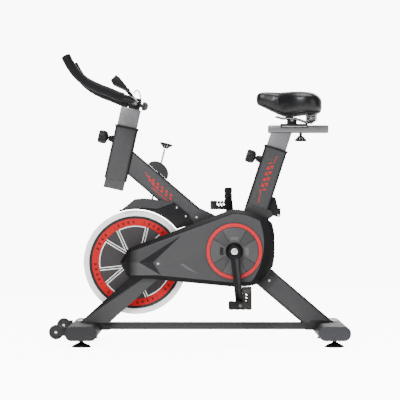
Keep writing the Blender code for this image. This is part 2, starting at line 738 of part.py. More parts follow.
def make_crank(name, side):
    """A crank arm with its boss and the pedal spindle pressed into its end."""
    aim = crank_direction(side)
    start = side_point(CRANK_CENTRE)
    end = start + aim * CRANK_LENGTH
    heading = math.degrees(math.atan2(aim.z, aim.x))
    loop = (arc((start.x, start.z), 0.0175, heading + 90.0, heading + 270.0, 12)
            + arc((end.x, end.z), 0.0125, heading - 90.0, heading + 90.0, 10))
    middle = side * (CRANK_INNER_Y + CRANK_THICK / 2)
    made = as_mesh(outline(name, [loop], middle, CRANK_THICK))
    boss = start + Vector((0.0, side * (CRANK_INNER_Y + 0.006), 0.0))
    cut(made, drum(name + "_boss", 0.0225, 0.016, boss, "Y"), "UNION")
    outer = PEDAL_INNER_Y + PEDAL_WIDTH - 0.006
    inner = CRANK_INNER_Y + 0.002
    spindle = end + Vector((0.0, side * (inner + outer) / 2, 0.0))
    cut(made, drum(name + "_spindle", SPINDLE_RADIUS, outer - inner, spindle, "Y", 20),
        "UNION")
    cut(made, drum(name + "_bore", AXLE_RADIUS + GAP, 2 * (CRANK_THICK - 0.0025),
                   start + Vector((0.0, side * CRANK_INNER_Y, 0.0)), "Y", 24))
    cut(made, drum(name + "_mouth", AXLE_RADIUS + GAP, 0.04,
                   start + Vector((0.0, side * (CRANK_INNER_Y - 0.0195), 0.0)), "Y", 24))
    keep(made, STEEL)
    return end


def make_pedal(side_name, side, end, turn):
    """A platform pedal with its toe strap, turned by degrees about its spindle."""
    toe = -side
    middle = side * (PEDAL_INNER_Y + PEDAL_WIDTH / 2)
    seat = bpy.data.objects.new("pedal_axis_" + side_name, None)
    parts.objects.link(seat)
    seat.location = (end.x, middle, end.z)
    seat.rotation_euler = (0.0, math.radians(turn), 0.0)
    pedal = block("pedal_" + side_name, (PEDAL_LENGTH, PEDAL_WIDTH, PEDAL_THICK),
                  (0, 0, 0))
    round_edges(pedal, 0.005)
    bore = drum("pedal_bore_" + side_name, SPINDLE_RADIUS + RUN_GAP, PEDAL_WIDTH + 0.04,
                (0, 0, 0), "Y", 20)
    bore.parent = seat
    pedal.parent = seat
    cut(pedal, bore)
    keep(pedal, BLACK_PLASTIC)
    strap = strap_band("toe_strap_" + side_name)
    strap.parent = seat
    strap.location.x = toe * (SPINDLE_RADIUS + 0.0012 + STRAP_BAND / 2)
    keep(strap, BLACK_PLASTIC)


def strap_band(name):
    """The moulded toe strap, an arch over the pedal from one side to the other."""
    half = PEDAL_WIDTH / 2 + GAP
    base = -PEDAL_THICK / 2 + 0.006
    shoulder = STRAP_RISE - half
    rise = base + shoulder
    outer = half + STRAP_THICK

    def arch(reach):
        turns = [math.pi * i / 14 for i in range(15)]
        return [(reach * math.cos(a), rise + reach * 0.75 * math.sin(a)) for a in turns]

    loop = [(outer, base)] + arch(outer) + [(-outer, base)]
    loop += [(-half, base)] + list(reversed(arch(half))) + [(half, base)]
    made = as_mesh(outline(name, [loop], 0.0, STRAP_BAND))
    made.data.transform(Matrix.Rotation(math.radians(90.0), 4, "X"))
    made.data.transform(Matrix.Rotation(math.radians(90.0), 4, "Z"))
    made.rotation_euler = (0.0, 0.0, 0.0)
    return made


def make_drive():
    """The flywheel, belt, cranks and pedals."""
    make_flywheel()
    make_crank_axle_and_pulley()
    make_belt()
    for side_name, side, turn in (("left", -1, 0.0), ("right", 1, -90.0)):
        end = make_crank("crank_" + side_name, side)
        make_pedal(side_name, side, end, turn)


# ---- covers ------------------------------------------------------------------------


def make_cover(name, side):
    """Half of the belt cover: a wall round the outline, a sloped band and a face."""
    shape = bmesh.new()
    points = [shape.verts.new((x, side * COVER_INNER_Y, z)) for x, z in COVER_OUTLINE]
    flat = bmesh.ops.contextual_create(shape, geom=points)["faces"]
    wall = bmesh.ops.extrude_face_region(shape, geom=flat)
    moved = [item for item in wall["geom"] if isinstance(item, bmesh.types.BMVert)]
    face = [item for item in wall["geom"] if isinstance(item, bmesh.types.BMFace)]
    depth = side * (COVER_SIDE_Y - COVER_INNER_Y)
    bmesh.ops.translate(shape, verts=moved, vec=(0.0, depth, 0.0))
    bmesh.ops.inset_region(shape, faces=face, thickness=COVER_BAND, use_even_offset=True)
    rise = side * (COVER_FACE_Y - COVER_SIDE_Y)
    bmesh.ops.translate(shape, verts=list(face[0].verts), vec=(0.0, rise, 0.0))
    bmesh.ops.recalc_face_normals(shape, faces=shape.faces)
    back = [f for f in shape.faces
            if all(abs(abs(v.co.y) - COVER_INNER_Y) < 1e-6 for v in f.verts)]
    bmesh.ops.delete(shape, geom=back, context="FACES_ONLY")
    mesh = bpy.data.meshes.new(name)
    shape.to_mesh(mesh)
    shape.free()
    made = bpy.data.objects.new(name, mesh)
    bpy.context.scene.collection.objects.link(made)
    skin = made.modifiers.new("wall", "SOLIDIFY")
    skin.thickness = COVER_WALL
    skin.offset = -1.0
    skin.use_even_offset = True
    crank = side_point(CRANK_CENTRE)
    cut(made, drum(name + "_crank_hole", COVER_HOLE, 0.3, crank))
    cut(made, leg_space(name + "_leg_way", side, 0.0006))
    middle = side_point(SEAT_TOP) - SEAT_AXIS * SEAT_TUBE_LENGTH / 2
    cut(made, block(name + "_seat_way", (SEAT_DEPTH + 0.001, SLEEVE_WIDTH + 0.001,
                                         SEAT_TUBE_LENGTH), middle, SEAT_LEAN))
    return keep(made, COVER_PLASTIC)


def make_crank_disc(name, side):
    """The round trim disc over the cover's crank hole."""
    inner = side * (COVER_FACE_Y + GAP)
    profile = [(DISC_HUB, DISC_THICK), (DISC_RADIUS - 0.003, DISC_THICK),
               (DISC_RADIUS, DISC_THICK - 0.002), (DISC_RADIUS, 0.0), (DISC_HUB, 0.0)]
    toward = "Y" if side > 0 else "-Y"
    made = turned(name, profile, side_point(CRANK_CENTRE, inner), toward, 32, ring=True)
    return keep(made, COVER_PLASTIC)


def fly_space(name, radius, width):
    """A round space about the flywheel's axis."""
    return drum(name, radius, width, side_point(WHEEL_CENTRE), "Y", sides=40)


def make_fenders():
    """The splash cover over the wheel's top and the guard that closes it to the beam."""
    top = [(-0.261, 0.443), (-0.217, 0.478), (-0.189, 0.481), (-0.1655, 0.479),
           (-0.084, 0.466), (-0.142, 0.4455), (-0.196, 0.4505)]
    made = as_mesh(outline("fender_top", [top], 0.0, FENDER_WIDTH))
    cut(made, fly_space("fender_hollow", FLY_RADIUS + 0.0150, PAD_WIDTH + 0.008))
    cut(made, beam_space("fender_beam", GAP * 2))
    cut(made, rod_space("fender_rod_hole", ROD_RADIUS + 0.002))
    keep(made, COVER_PLASTIC)
    low = [(-0.196, 0.4498), (-0.142, 0.4448), (-0.083, 0.4652), (-0.037, 0.4265),
           (-0.042, 0.408), (-0.079, 0.3785)]
    low += arc(WHEEL_CENTRE, FLY_RADIUS + 0.006, 42.0, 92.0, 12)
    made = as_mesh(outline("fender_guard", [low], 0.0, GUARD_WIDTH))
    cut(made, fly_space("guard_hollow", FLY_RADIUS + 0.0150, PAD_WIDTH + 0.008))
    cut(made, beam_space("guard_beam", GAP * 2))
    cut(made, rod_space("guard_rod_hole", ROD_RADIUS + 0.002))
    keep(made, BLACK_PLASTIC)


def make_accessory_bracket():
    """The hooked plastic holder on the back of the seat tube."""
    rear = side_point(SEAT_TOP) - SEAT_FRONT * (SEAT_DEPTH / 2 + GAP)
    top = rear - SEAT_AXIS * 0.150
    low = rear - SEAT_AXIS * 0.212
    loop = [(top.x, top.z), (top.x + 0.010, top.z - 0.006), (0.2600, 0.448),
            (0.268, 0.446), (0.268, 0.419), (0.256, 0.419), (low.x + 0.004, low.z),
            (low.x, low.z)]
    made = outline("accessory_bracket", [loop], 0.0, 0.030)
    keep(as_mesh(made), BLACK_PLASTIC)


def make_covers():
    """Everything that encloses the drive."""
    make_cover("cover_left", -1)
    make_cover("cover_right", 1)
    make_crank_disc("crank_disc_left", -1)
    make_crank_disc("crank_disc_right", 1)
    make_fenders()
    make_accessory_bracket()


# ---- brake -------------------------------------------------------------------------
def make_brake():
    """The push brake: a knob and rod that press a felt shoe on the wheel's rim."""
    base = side_point(ROD_TOP)
    lifted = side_point(WHEEL_CENTRE) + ROD_AXIS * BRAKE_TRAVEL
    centre = (lifted.x, lifted.z)
    inner = FLY_RADIUS + PAD_GAP
    loop = (arc(centre, inner, PAD_START, PAD_END, 20)
            + arc(centre, inner + PAD_THICK, PAD_END, PAD_START, 20))
    shoe = as_mesh(outline("brake_shoe", [loop], 0.0, PAD_WIDTH))
    keep(shoe, FELT)
    # the rod stops where it meets the back of the shoe
    reach = (base - lifted).dot(ROD_AXIS)
    side = (base - lifted) - ROD_AXIS * reach
    back = inner + PAD_THICK + GAP + 0.0004
    length = reach - math.sqrt(back ** 2 - side.length_squared)
    middle = base - ROD_AXIS * length / 2
    keep(drum("brake_rod", ROD_RADIUS, length, middle, ROD_AXIS, 16), CHROME)
    knob_z = GAP
    profile = [(0.0, knob_z + 0.019), (0.0215, knob_z + 0.019), (0.0215, knob_z + 0.013),
               (0.009, knob_z), (0.0, knob_z)]
    keep(turned("brake_knob", profile, base, ROD_AXIS, 20), BLACK_PLASTIC)


def make_brake_housing():
    """The half-round housing on the beam that guides the brake rod."""
    along = (side_point((-0.138, 0.574)) - side_point(BEAM_TOP)).dot(BEAM_DIRECTION)
    foot = (side_point(BEAM_TOP) + BEAM_DIRECTION * along
            + BEAM_UP * (BEAM_DEPTH / 2 + GAP))
    half = 0.040
    turns = [math.radians(180.0 * i / 16) for i in range(17)]
    points = [foot + BEAM_DIRECTION * half * math.cos(a) + BEAM_UP * 0.032 * math.sin(a)
              for a in turns]
    loop = [(p.x, p.z) for p in points]
    made = as_mesh(outline("brake_housing", [loop], 0.0, 0.036))
    cut(made, rod_space("housing_rod_hole", ROD_RADIUS + RUN_GAP))
    keep(made, STEEL)


# ---- handlebar and console ---------------------------------------------------------
def bar_path():
    """The left half of the bar: from the middle out, round the bend and up the horn."""
    y = BAR_HALF_SPAN
    return [(BAR_X, 0.0, BAR_Z), (BAR_X, -0.08, BAR_Z), (BAR_X, -y + 0.045, BAR_Z),
            (BAR_X - 0.004, -y + 0.020, BAR_Z + 0.001),
            (BAR_X - 0.020, -y + 0.003, BAR_Z + 0.007), (-0.258, -y, 0.8090),
            (-0.291, -y, 0.8225), (-0.340, -y, 0.8420), (-0.375, -y, 0.8620),
            (-0.401, -y, 0.8860), (-0.421, -y, 0.9150), (-0.437, -y, 0.9460)]


def make_handlebar():
    """The bull-horn bar, its two foam grips and the post under it."""
    left = smooth_path(bar_path(), 2)
    right = [Vector((p.x, -p.y, p.z)) for p in left]
    whole = list(reversed(left))[:-1] + right
    keep(as_mesh(wire("handlebar", whole, BAR_RADIUS)), STEEL)
    for side_name, run in (("left", left), ("right", right)):
        name = "grip_" + side_name
        covered = [p for p in run if p.x < GRIP_FROM_X]
        sleeve = as_mesh(wire(name, covered, GRIP_RADIUS, caps=False))
        skin = sleeve.modifiers.new("wall", "SOLIDIFY")
        skin.thickness = GRIP_RADIUS - BAR_RADIUS - GRIP_BORE_GAP
        skin.offset = -1.0
        keep(sleeve, FOAM)
    post = box_tube("handlebar_post", POST_TOP, HEAD_LEAN, POST_LENGTH, POST_DEPTH,
                    POST_WIDTH, TUBE_WALL)
    keep(post, SILVER_PAINT)


def make_bar_clamp():
    """The cast clamp on the post's top that holds the bar, and its knob."""
    bar = Vector((BAR_X, 0.0, BAR_Z))
    top = side_point(POST_TOP)
    floor = (bar - top).dot(HEAD_AXIS) - GAP
    height = floor + BAR_CLAMP_RISE
    middle = bar + HEAD_AXIS * (BAR_CLAMP_RISE - height / 2)
    made = block("bar_clamp", (0.038, 0.040, height), middle, HEAD_LEAN)
    round_edges(made, 0.003)
    cut(made, drum("clamp_bore", BAR_RADIUS + GAP, 0.1, bar, "Y", 24))
    keep(made, BLACK_PLASTIC)
    face = bar - HEAD_FRONT * (0.019 + GAP) - HEAD_AXIS * 0.003
    profile = [(0.0, 0.026), (0.008, 0.025), (0.0135, 0.019), (0.015, 0.010),
               (0.0135, 0.006), (0.006, 0.006), (0.006, 0.0), (0.0, 0.0)]
    keep(turned("clamp_knob", profile, face, -HEAD_FRONT, 16), BLACK_PLASTIC)


def make_console():
    """The wedge-shaped speed display on a short stalk, with its button and cable."""
    made = as_mesh(outline("console", [CONSOLE_LOOP], 0.0, 2 * CONSOLE_HALF_WIDTH))
    foot = Vector((BAR_X - 0.006, 0.0, BAR_Z)) + HEAD_AXIS * (BAR_CLAMP_RISE - 0.002)
    head = Vector((-0.252, 0.0, 0.8480))
    run = head - foot
    lean = math.degrees(math.atan2(run.x, run.z))
    stalk = block("console_stalk", (0.010, 0.022, run.length), foot + run / 2, lean)
    cut(made, stalk, "UNION")
    cut(made, block("console_trim", (0.1, 0.1, 0.02), Vector((BAR_X, 0.0, BAR_Z))
                    + HEAD_AXIS * (BAR_CLAMP_RISE + GAP - 0.01), HEAD_LEAN))
    keep(made, BLACK_PLASTIC)
    top = side_point(CONSOLE_LOOP[0])
    low = side_point(CONSOLE_LOOP[1])
    slope = (low - top).normalized()
    out = Vector((-slope.z, 0.0, slope.x))
    out = out if out.z > 0.0 else -out
    place = top + slope * BUTTON_DOWN
    cut(made, drum("button_pocket", BUTTON_RADIUS + RUN_GAP, 0.012, place + out * 0.0015,
                   out, 16))
    button = drum("console_button", BUTTON_RADIUS, 0.005, place + out * 0.0005, out, 16)
    keep(button, RED_PLASTIC)
    route = [(-0.2210, 0.030, 0.8300), (-0.2130, 0.031, 0.8420), (-0.2040, 0.031, 0.8370),
             (-0.1990, 0.030, 0.8180), (-0.1975, 0.029, 0.7990), (-0.2020, 0.0262, 0.7870),
             (-0.2085, 0.0222, 0.7845)]
    keep(as_mesh(wire("console_cable", smooth_path(route, 3), CABLE_RADIUS)), RUBBER)


def make_pin_knob(name, top, axis, front, depth, drop):
    """A spring-loaded pop-pin: a lobed knob on a pin that locks a post."""
    face = side_point(top) - axis * drop + front * (depth / 2)
    start = GAP - SLEEVE_WALL - 0.001
    collar_end = 0.016 + GAP
    profile = [(0.0, 0.050), (0.017, 0.050), (0.0225, 0.044), (0.0225, 0.030),
               (0.017, 0.024), (0.0055, 0.022), (0.0055, collar_end + RUN_GAP),
               (PIN_RADIUS, collar_end + RUN_GAP), (PIN_RADIUS, start), (0.0, start)]
    return keep(turned(name, profile, face, front, 16), BLACK_PLASTIC)


# ---- seat --------------------------------------------------------------------------
def make_seat_post():
    """The seat post and the level tube across its top."""
    drop = SLIDER_Z[0] - GAP
    top = side_point(SEAT_TOP)
    top = top + SEAT_AXIS * ((drop - top.z) / SEAT_AXIS.z + 0.03)
    made = box_tube("seat_post", (top.x, top.z), SEAT_LEAN, SEAT_POST_LENGTH, POST_DEPTH,
                    POST_WIDTH, TUBE_WALL)
    cut(made, block("seat_post_mitre", (0.3, 0.1, 0.2), (top.x, 0.0, drop + 0.1)))
    keep(made, SILVER_PAINT)
    length = SLIDER_X[1] - SLIDER_X[0]
    height = SLIDER_Z[1] - SLIDER_Z[0]
    middle = (sum(SLIDER_X) / 2, 0.0, sum(SLIDER_Z) / 2)
    tube = block("seat_slider", (length, SLIDER_WIDTH, height), middle)
    round_edges(tube, 0.004, 2)
    cut(tube, block("slider_bore", (length + 0.04, SLIDER_WIDTH - 0.008,
                                    height - 0.008), middle))
    keep(tube, SILVER_PAINT)
    knob = [(0.0, -GAP), (0.005, -GAP), (0.005, -0.009), (0.010, -0.012),
            (0.0200, -0.023), (0.0200, -0.028), (0.0, -0.028)]
    keep(turned("slider_knob", knob, (0.3355, 0.0, SLIDER_Z[0]), "Z", 20), BLACK_PLASTIC)


def make_carriage():
    """The clamp that slides on the tube and carries the saddle's rails."""
    top = SLIDER_Z[1] + RUN_GAP
    width = SLIDER_WIDTH + 0.009
    length = CARRIAGE_X[1] - CARRIAGE_X[0]
    middle = sum(CARRIAGE_X) / 2
    made = block("saddle_carriage", (length, width, 0.013), (middle, 0.0, top - 0.0025))
    pillar = block("carriage_pillar", (0.032, 0.034, 0.026), (0.306, 0.0, top + 0.0125))
    cut(made, pillar, "UNION")
    cut(made, block("carriage_slot", (0.3, SLIDER_WIDTH + 2 * RUN_GAP, 0.03),
                    (middle, 0.0, top - 0.015)))
    return keep(made, BLACK_PLASTIC)


def make_saddle_rails():
    """The bent wire under the saddle, one piece from one spring to the other."""
    half = 0.022
    run = [(SPRING_X + 0.004, SPRING_Y, RAIL_REST),
           (SPRING_X - 0.006, SPRING_Y - 0.012, RAIL_REST),
           (0.3575, half + 0.002, RAIL_REST), (0.330, half, 0.7420),
           (0.300, half, 0.7475), (0.278, half - 0.001, 0.7465),
           (0.262, half - 0.006, 0.7500), (0.255, half - 0.014, 0.7515)]
    other = [(x, -y, z) for x, y, z in reversed(run)]
    path = smooth_path(run + other, 2)
    return keep(as_mesh(wire("saddle_rails", path, RAIL_WIRE)), CHROME)


def make_spring(name, side):
    """A short coil spring under the saddle's rear."""
    turns = 3.0
    low = RAIL_REST + RAIL_WIRE + SPRING_WIRE + GAP
    high = SPRING_TOP - SPRING_WIRE
    count = int(turns * 9)
    points = []
    for step in range(count + 1):
        angle = 2 * math.pi * turns * step / count
        height = low + (high - low) * step / count
        points.append((SPRING_X + SPRING_RADIUS * math.cos(angle),
                       side * SPRING_Y + SPRING_RADIUS * math.sin(angle), height))
    return keep(as_mesh(wire(name, points, SPRING_WIRE)), CHROME)


def saddle_section(share):
    """Half width, bottom and top of the saddle at a share of its length from the nose."""
    for before, after in zip(SADDLE_PROFILE, SADDLE_PROFILE[1:]):
        if share <= after[0]:
            break
    part = (share - before[0]) / (after[0] - before[0])
    wide, bottom, top = (a + (b - a) * part for a, b in zip(before[1:], after[1:]))
    return SADDLE_HALF_WIDTH * wide, SADDLE_SEAT + bottom, SADDLE_SEAT + top


def make_saddle():
    """The padded saddle, a closed loft along its length."""
    shape = bmesh.new()
    around = 16
    rings = []
    for share in [station[0] for station in SADDLE_PROFILE]:
        half, bottom, top = saddle_section(share)
        x = SADDLE_FRONT + SADDLE_LENGTH * share
        middle = (top + bottom) / 2
        rise = (top - bottom) / 2
        ring = []
        for index in range(around):
            angle = 2 * math.pi * index / around
            across, up = math.cos(angle), math.sin(angle)
            soft = 0.62
            y = half * math.copysign(abs(across) ** soft, across)
            z = middle + rise * math.copysign(abs(up) ** soft, up)
            ring.append(shape.verts.new((x, y, z)))
        rings.append(ring)
    for first, second in zip(rings, rings[1:]):
        for index in range(around):
            after = (index + 1) % around
            shape.faces.new((first[index], first[after], second[after], second[index]))
    shape.faces.new(rings[0])
    shape.faces.new(list(reversed(rings[-1])))
    made = from_bmesh("saddle", shape)
    return keep(made, VINYL)


def make_seat():
    """The adjustable seat."""
    make_seat_post()
    make_carriage()
    make_saddle_rails()
    make_spring("saddle_spring_left", -1)
    make_spring("saddle_spring_right", 1)
    make_saddle()


# ---- assembly ----------------------------------------------------------------------
make_frame()
make_drive()
make_covers()
make_brake()
make_brake_housing()
make_handlebar()
make_bar_clamp()
make_console()
make_pin_knob("head_pin_knob", HEAD_TOP, HEAD_AXIS, HEAD_FRONT, HEAD_DEPTH, HEAD_PIN_DROP)
make_pin_knob("seat_pin_knob", SEAT_TOP, SEAT_AXIS, SEAT_FRONT, SEAT_DEPTH, SEAT_PIN_DROP)
make_seat()
bpy.context.view_layer.update()
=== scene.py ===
"""The looks of an indoor cycling bike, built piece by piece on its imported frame."""

import json
import math

import bmesh
import bpy
from mathutils import Matrix, Vector


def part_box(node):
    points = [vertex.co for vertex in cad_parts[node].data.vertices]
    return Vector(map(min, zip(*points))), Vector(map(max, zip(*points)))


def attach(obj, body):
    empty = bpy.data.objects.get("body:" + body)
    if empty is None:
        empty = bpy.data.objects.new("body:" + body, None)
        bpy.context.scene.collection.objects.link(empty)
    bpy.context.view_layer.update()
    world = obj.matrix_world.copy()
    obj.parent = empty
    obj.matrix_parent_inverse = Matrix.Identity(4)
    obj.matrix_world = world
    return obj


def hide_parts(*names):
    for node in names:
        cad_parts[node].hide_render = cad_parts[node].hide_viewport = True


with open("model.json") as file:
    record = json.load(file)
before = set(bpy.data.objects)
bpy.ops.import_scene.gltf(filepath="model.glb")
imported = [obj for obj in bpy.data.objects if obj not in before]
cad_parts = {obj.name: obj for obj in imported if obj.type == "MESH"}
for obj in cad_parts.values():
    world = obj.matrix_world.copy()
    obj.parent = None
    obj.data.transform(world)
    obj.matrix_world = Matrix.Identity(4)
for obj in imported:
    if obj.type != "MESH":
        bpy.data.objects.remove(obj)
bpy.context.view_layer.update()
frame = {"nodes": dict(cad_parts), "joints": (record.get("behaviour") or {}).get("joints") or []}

# ---- studio ------------------------------------------------------------------------
# A long lens square to the bike's left side, a pale sweep that runs up behind it, and
# large soft lights. None of this belongs to the bike.
CAMERA_DISTANCE = 6.5
CAMERA_HEIGHT = 0.475
VIEW_WIDTH = 4.0 / 3.0      # metres across the picture in the bike's middle plane
SENSOR = 36.0

camera = bpy.data.objects.new("camera", bpy.data.cameras.new("camera"))
bpy.context.scene.collection.objects.link(camera)
camera.location = (0.0, -CAMERA_DISTANCE, CAMERA_HEIGHT)
camera.rotation_euler = (math.radians(90.0), 0.0, 0.0)
camera.data.sensor_width = SENSOR
camera.data.lens = SENSOR * CAMERA_DISTANCE / VIEW_WIDTH
camera.data.clip_end = 60.0
bpy.context.scene.camera = camera

world = bpy.data.worlds.new("studio")
world.use_nodes = True
world.node_tree.nodes["Background"].inputs["Color"].default_value = (1.0, 1.0, 1.0, 1.0)
world.node_tree.nodes["Background"].inputs["Strength"].default_value = 0.24
bpy.context.scene.world = world


def soft_light(name, place, aim, size, power):
    """A square area light that looks at a point."""
    lamp = bpy.data.lights.new(name, "AREA")
    lamp.size = size
    lamp.energy = power
    made = bpy.data.objects.new(name, lamp)
    bpy.context.scene.collection.objects.link(made)
    made.location = place
    made.rotation_euler = (Vector(aim) - Vector(place)).to_track_quat("-Z", "Y").to_euler()
    return made


soft_light("key_light", (-1.6, -3.2, 2.6), (0.0, 0.0, 0.5), 1.3, 150.0)
soft_light("fill_light", (2.8, -2.6, 1.0), (0.1, 0.0, 0.4), 1.5, 22.0)
soft_light("top_light", (0.2, -0.2, 3.4), (0.0, 0.0, 0.4), 2.2, 130.0)
soft_light("back_light", (1.4, 3.0, 2.2), (0.0, 0.0, 0.5), 1.6, 60.0)


def everything_deselected():
    """Leaves object mode with nothing selected, as each new primitive needs."""
    if bpy.context.object and bpy.context.object.mode != "OBJECT":
        bpy.ops.object.mode_set(mode="OBJECT")
    bpy.ops.object.select_all(action="DESELECT")


everything_deselected()
bpy.ops.mesh.primitive_plane_add(size=16.0, location=(0.0, 0.0, 0.0))
floor = bpy.context.object
floor.name = "floor_sweep"
bpy.ops.object.mode_set(mode="EDIT")
bpy.ops.mesh.select_all(action="DESELECT")
bpy.ops.mesh.select_mode(type="EDGE")
bpy.ops.object.mode_set(mode="OBJECT")
for edge in floor.data.edges:
    edge.select = all(floor.data.vertices[i].co.y > 7.9 for i in edge.vertices)
bpy.ops.object.mode_set(mode="EDIT")
for rise in range(1, 13):
    turn = math.radians(90.0 * rise / 12)
    step = 2.0 * math.radians(90.0 / 12)
    move = (0.0, step * math.cos(turn), step * math.sin(turn))
    bpy.ops.mesh.extrude_region_move(TRANSFORM_OT_translate={"value": move})
bpy.ops.mesh.extrude_region_move(TRANSFORM_OT_translate={"value": (0.0, 0.0, 6.0)})
bpy.ops.object.mode_set(mode="OBJECT")
sweep = bpy.data.materials.new("pale_sweep")
sweep.use_nodes = True
sweep_shader = sweep.node_tree.nodes["Principled BSDF"]
sweep_shader.inputs["Base Color"].default_value = (0.93, 0.93, 0.93, 1.0)
sweep_shader.inputs["Roughness"].default_value = 0.9
sweep_shader.inputs["Specular IOR Level"].default_value = 0.1
sweep_shader.inputs["Emission Strength"].default_value = 9.0
ray = sweep.node_tree.nodes.new("ShaderNodeLightPath")
glow = sweep.node_tree.nodes.new("ShaderNodeMix")     # a dim bounce, but white to the camera
glow.data_type = "RGBA"
glow.inputs["A"].default_value = (0.10, 0.10, 0.10, 1.0)
glow.inputs["B"].default_value = (1.0, 1.0, 1.0, 1.0)
sweep.node_tree.links.new(ray.outputs["Is Camera Ray"], glow.inputs["Factor"])
sweep.node_tree.links.new(glow.outputs["Result"], sweep_shader.inputs["Emission Color"])
floor.data.materials.append(sweep)
for face in floor.data.polygons:
    face.use_smooth = True


# ---- main tubes: beam, sleeves, fork legs and floor rail ----------------------------
# Welded square steel tube with rounded corners, powder-coated dark grey. The beam and
# the seat tube carry printed red stripes and ticks. The corners are painted darker, as painted
# shade.
class Value:
    """A socket in a finish's pattern, so that masks are written as arithmetic."""

    def __init__(self, finish, socket):
        self.finish = finish
        self.socket = socket

    def maths(self, operation, other=0.0):
        return self.finish.node("Math", [self, other], operation=operation)

    def __add__(self, other):
        return self.maths("ADD", other)

    __radd__ = __add__

    def __mul__(self, other):
        return self.maths("MULTIPLY", other)

    __rmul__ = __mul__

    def __sub__(self, other):
        return self.maths("SUBTRACT", other)

    def __rsub__(self, other):
        return self.finish.node("Math", [other, self], operation="SUBTRACT")

    def __truediv__(self, other):
        return self.maths("DIVIDE", other)

    def __gt__(self, other):
        return self.maths("GREATER_THAN", other)

    def __lt__(self, other):
        return self.maths("LESS_THAN", other)

    def __abs__(self):
        return self.maths("ABSOLUTE")

    def __mod__(self, other):
        return self.maths("FLOORED_MODULO", other)

    def both(self, other):
        return self.maths("MULTIPLY", other)

    def either(self, other):
        return self.maths("MAXIMUM", other)

    def between(self, low, high):
        return self.maths("GREATER_THAN", low).maths("MULTIPLY", self < high)


class Finish:
    """A named material: constants on its shader, and patterns from its own nodes."""

    def __init__(self, name, colour, roughness, **constants):
        self.made = bpy.data.materials.new(name)
        self.made.use_nodes = True
        self.shader = self.made.node_tree.nodes["Principled BSDF"]
        self.shader.inputs["Base Color"].default_value = (*colour, 1.0)
        self.shader.inputs["Roughness"].default_value = roughness
        for socket, value in constants.items():
            self.shader.inputs[socket.replace("_", " ")].default_value = value
        self.place = None

    def node(self, kind, values=(), out=0, **settings):
        """Adds a node: its sockets' values or links, then which output to use."""
        made = self.made.node_tree.nodes.new("ShaderNode" + kind)
        for name, value in settings.items():
            setattr(made, name, value)
        pairs = values.items() if isinstance(values, dict) else enumerate(values)
        for key, value in pairs:
            if isinstance(value, Value):
                self.made.node_tree.links.new(value.socket, made.inputs[key])
            else:
                made.inputs[key].default_value = value
        return Value(self, made.outputs[out])

    def spot(self):
        """The point on the piece, as a vector."""
        if self.place is None:
            self.place = self.node("TexCoord", out=3)
        return self.place

    def along(self, origin, direction):
        """How far the point lies from an origin along a direction."""
        away = self.node("VectorMath", [self.spot(), tuple(origin)], operation="SUBTRACT")
        return self.node("VectorMath", [away, tuple(direction)], out=1,
                         operation="DOT_PRODUCT")

    def noise(self, scale, detail=3.0, stretch=(1.0, 1.0, 1.0)):
        """Smooth noise from 0 to 1 at a scale, stretched along the axes."""
        spot = self.node("Mapping", {"Vector": self.spot(), "Scale": stretch})
        return self.node("TexNoise", {"Vector": spot, "Scale": scale, "Detail": detail})

    def blend(self, mask, first, second):
        """One colour where the mask is 0, another where it is 1."""
        first = first if isinstance(first, Value) else (*first, 1.0)
        second = second if isinstance(second, Value) else (*second, 1.0)
        return self.node("Mix", {0: mask, 6: first, 7: second}, out=2, data_type="RGBA")

    def feed(self, socket, value):
        """Sends a pattern to a socket of the shader."""
        self.made.node_tree.links.new(value.socket, self.shader.inputs[socket])

    def bump(self, height, depth, strength=1.0):
        """Raises the surface by a pattern, in metres."""
        raised = self.node("Bump", {"Height": height, "Distance": depth,
                                    "Strength": strength})
        self.feed("Normal", raised)


def powder_coat(name, colour, roughness, grain=0.00010, **constants):
    """Baked powder paint: a fine orange-peel skin with slight changes of gloss."""
    made = Finish(name, colour, roughness, **constants)
    skin = made.noise(900.0, 2.0)
    cloud = made.noise(14.0, 3.0)
    made.feed("Roughness", cloud * 0.10 + (roughness - 0.05))
    made.bump(skin, grain, 0.5)
    return made


def piece_copy(node, name):
    """A copy of a CAD node's mesh with its triangles merged into clean faces."""
    everything_deselected()
    made = bpy.data.objects.new(name, frame["nodes"][node].data.copy())
    bpy.context.scene.collection.objects.link(made)
    bpy.context.view_layer.objects.active = made
    made.select_set(True)
    bpy.ops.object.mode_set(mode="EDIT")
    bpy.ops.mesh.select_all(action="SELECT")
    bpy.ops.mesh.remove_doubles(threshold=0.00002)
    bpy.ops.mesh.dissolve_limited(angle_limit=math.radians(1.0))
    bpy.ops.object.mode_set(mode="OBJECT")
    made.data.materials.clear()
    return made


def modified(piece, kind, **settings):
    """Adds a modifier and applies it."""
    everything_deselected()
    bpy.context.view_layer.objects.active = piece
    piece.select_set(True)
    change = piece.modifiers.new(kind.lower(), kind)
    for name, value in settings.items():
        setattr(change, name, value)
    bpy.ops.object.modifier_apply(modifier=change.name)
    return piece


def rounded(piece, width, segments=3, angle=28.0):
    """Rounds the edges sharper than an angle."""
    return modified(piece, "BEVEL", width=width, segments=segments, limit_method="ANGLE",
                    angle_limit=math.radians(angle), harden_normals=False)


def settled(piece, body, finish, slot, *stands_for, smooth=35.0):
    """Applies a piece's place, gives it its finish and fixes it to its body."""
    everything_deselected()
    bpy.context.view_layer.objects.active = piece
    piece.select_set(True)
    bpy.ops.object.transform_apply(location=True, rotation=True, scale=True)
    bpy.ops.object.shade_smooth_by_angle(angle=math.radians(smooth))
    piece.data.materials.clear()
    piece.data.materials.append(finish.made)
    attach(piece, body)
    if stands_for:
        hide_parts(*stands_for)
    return piece


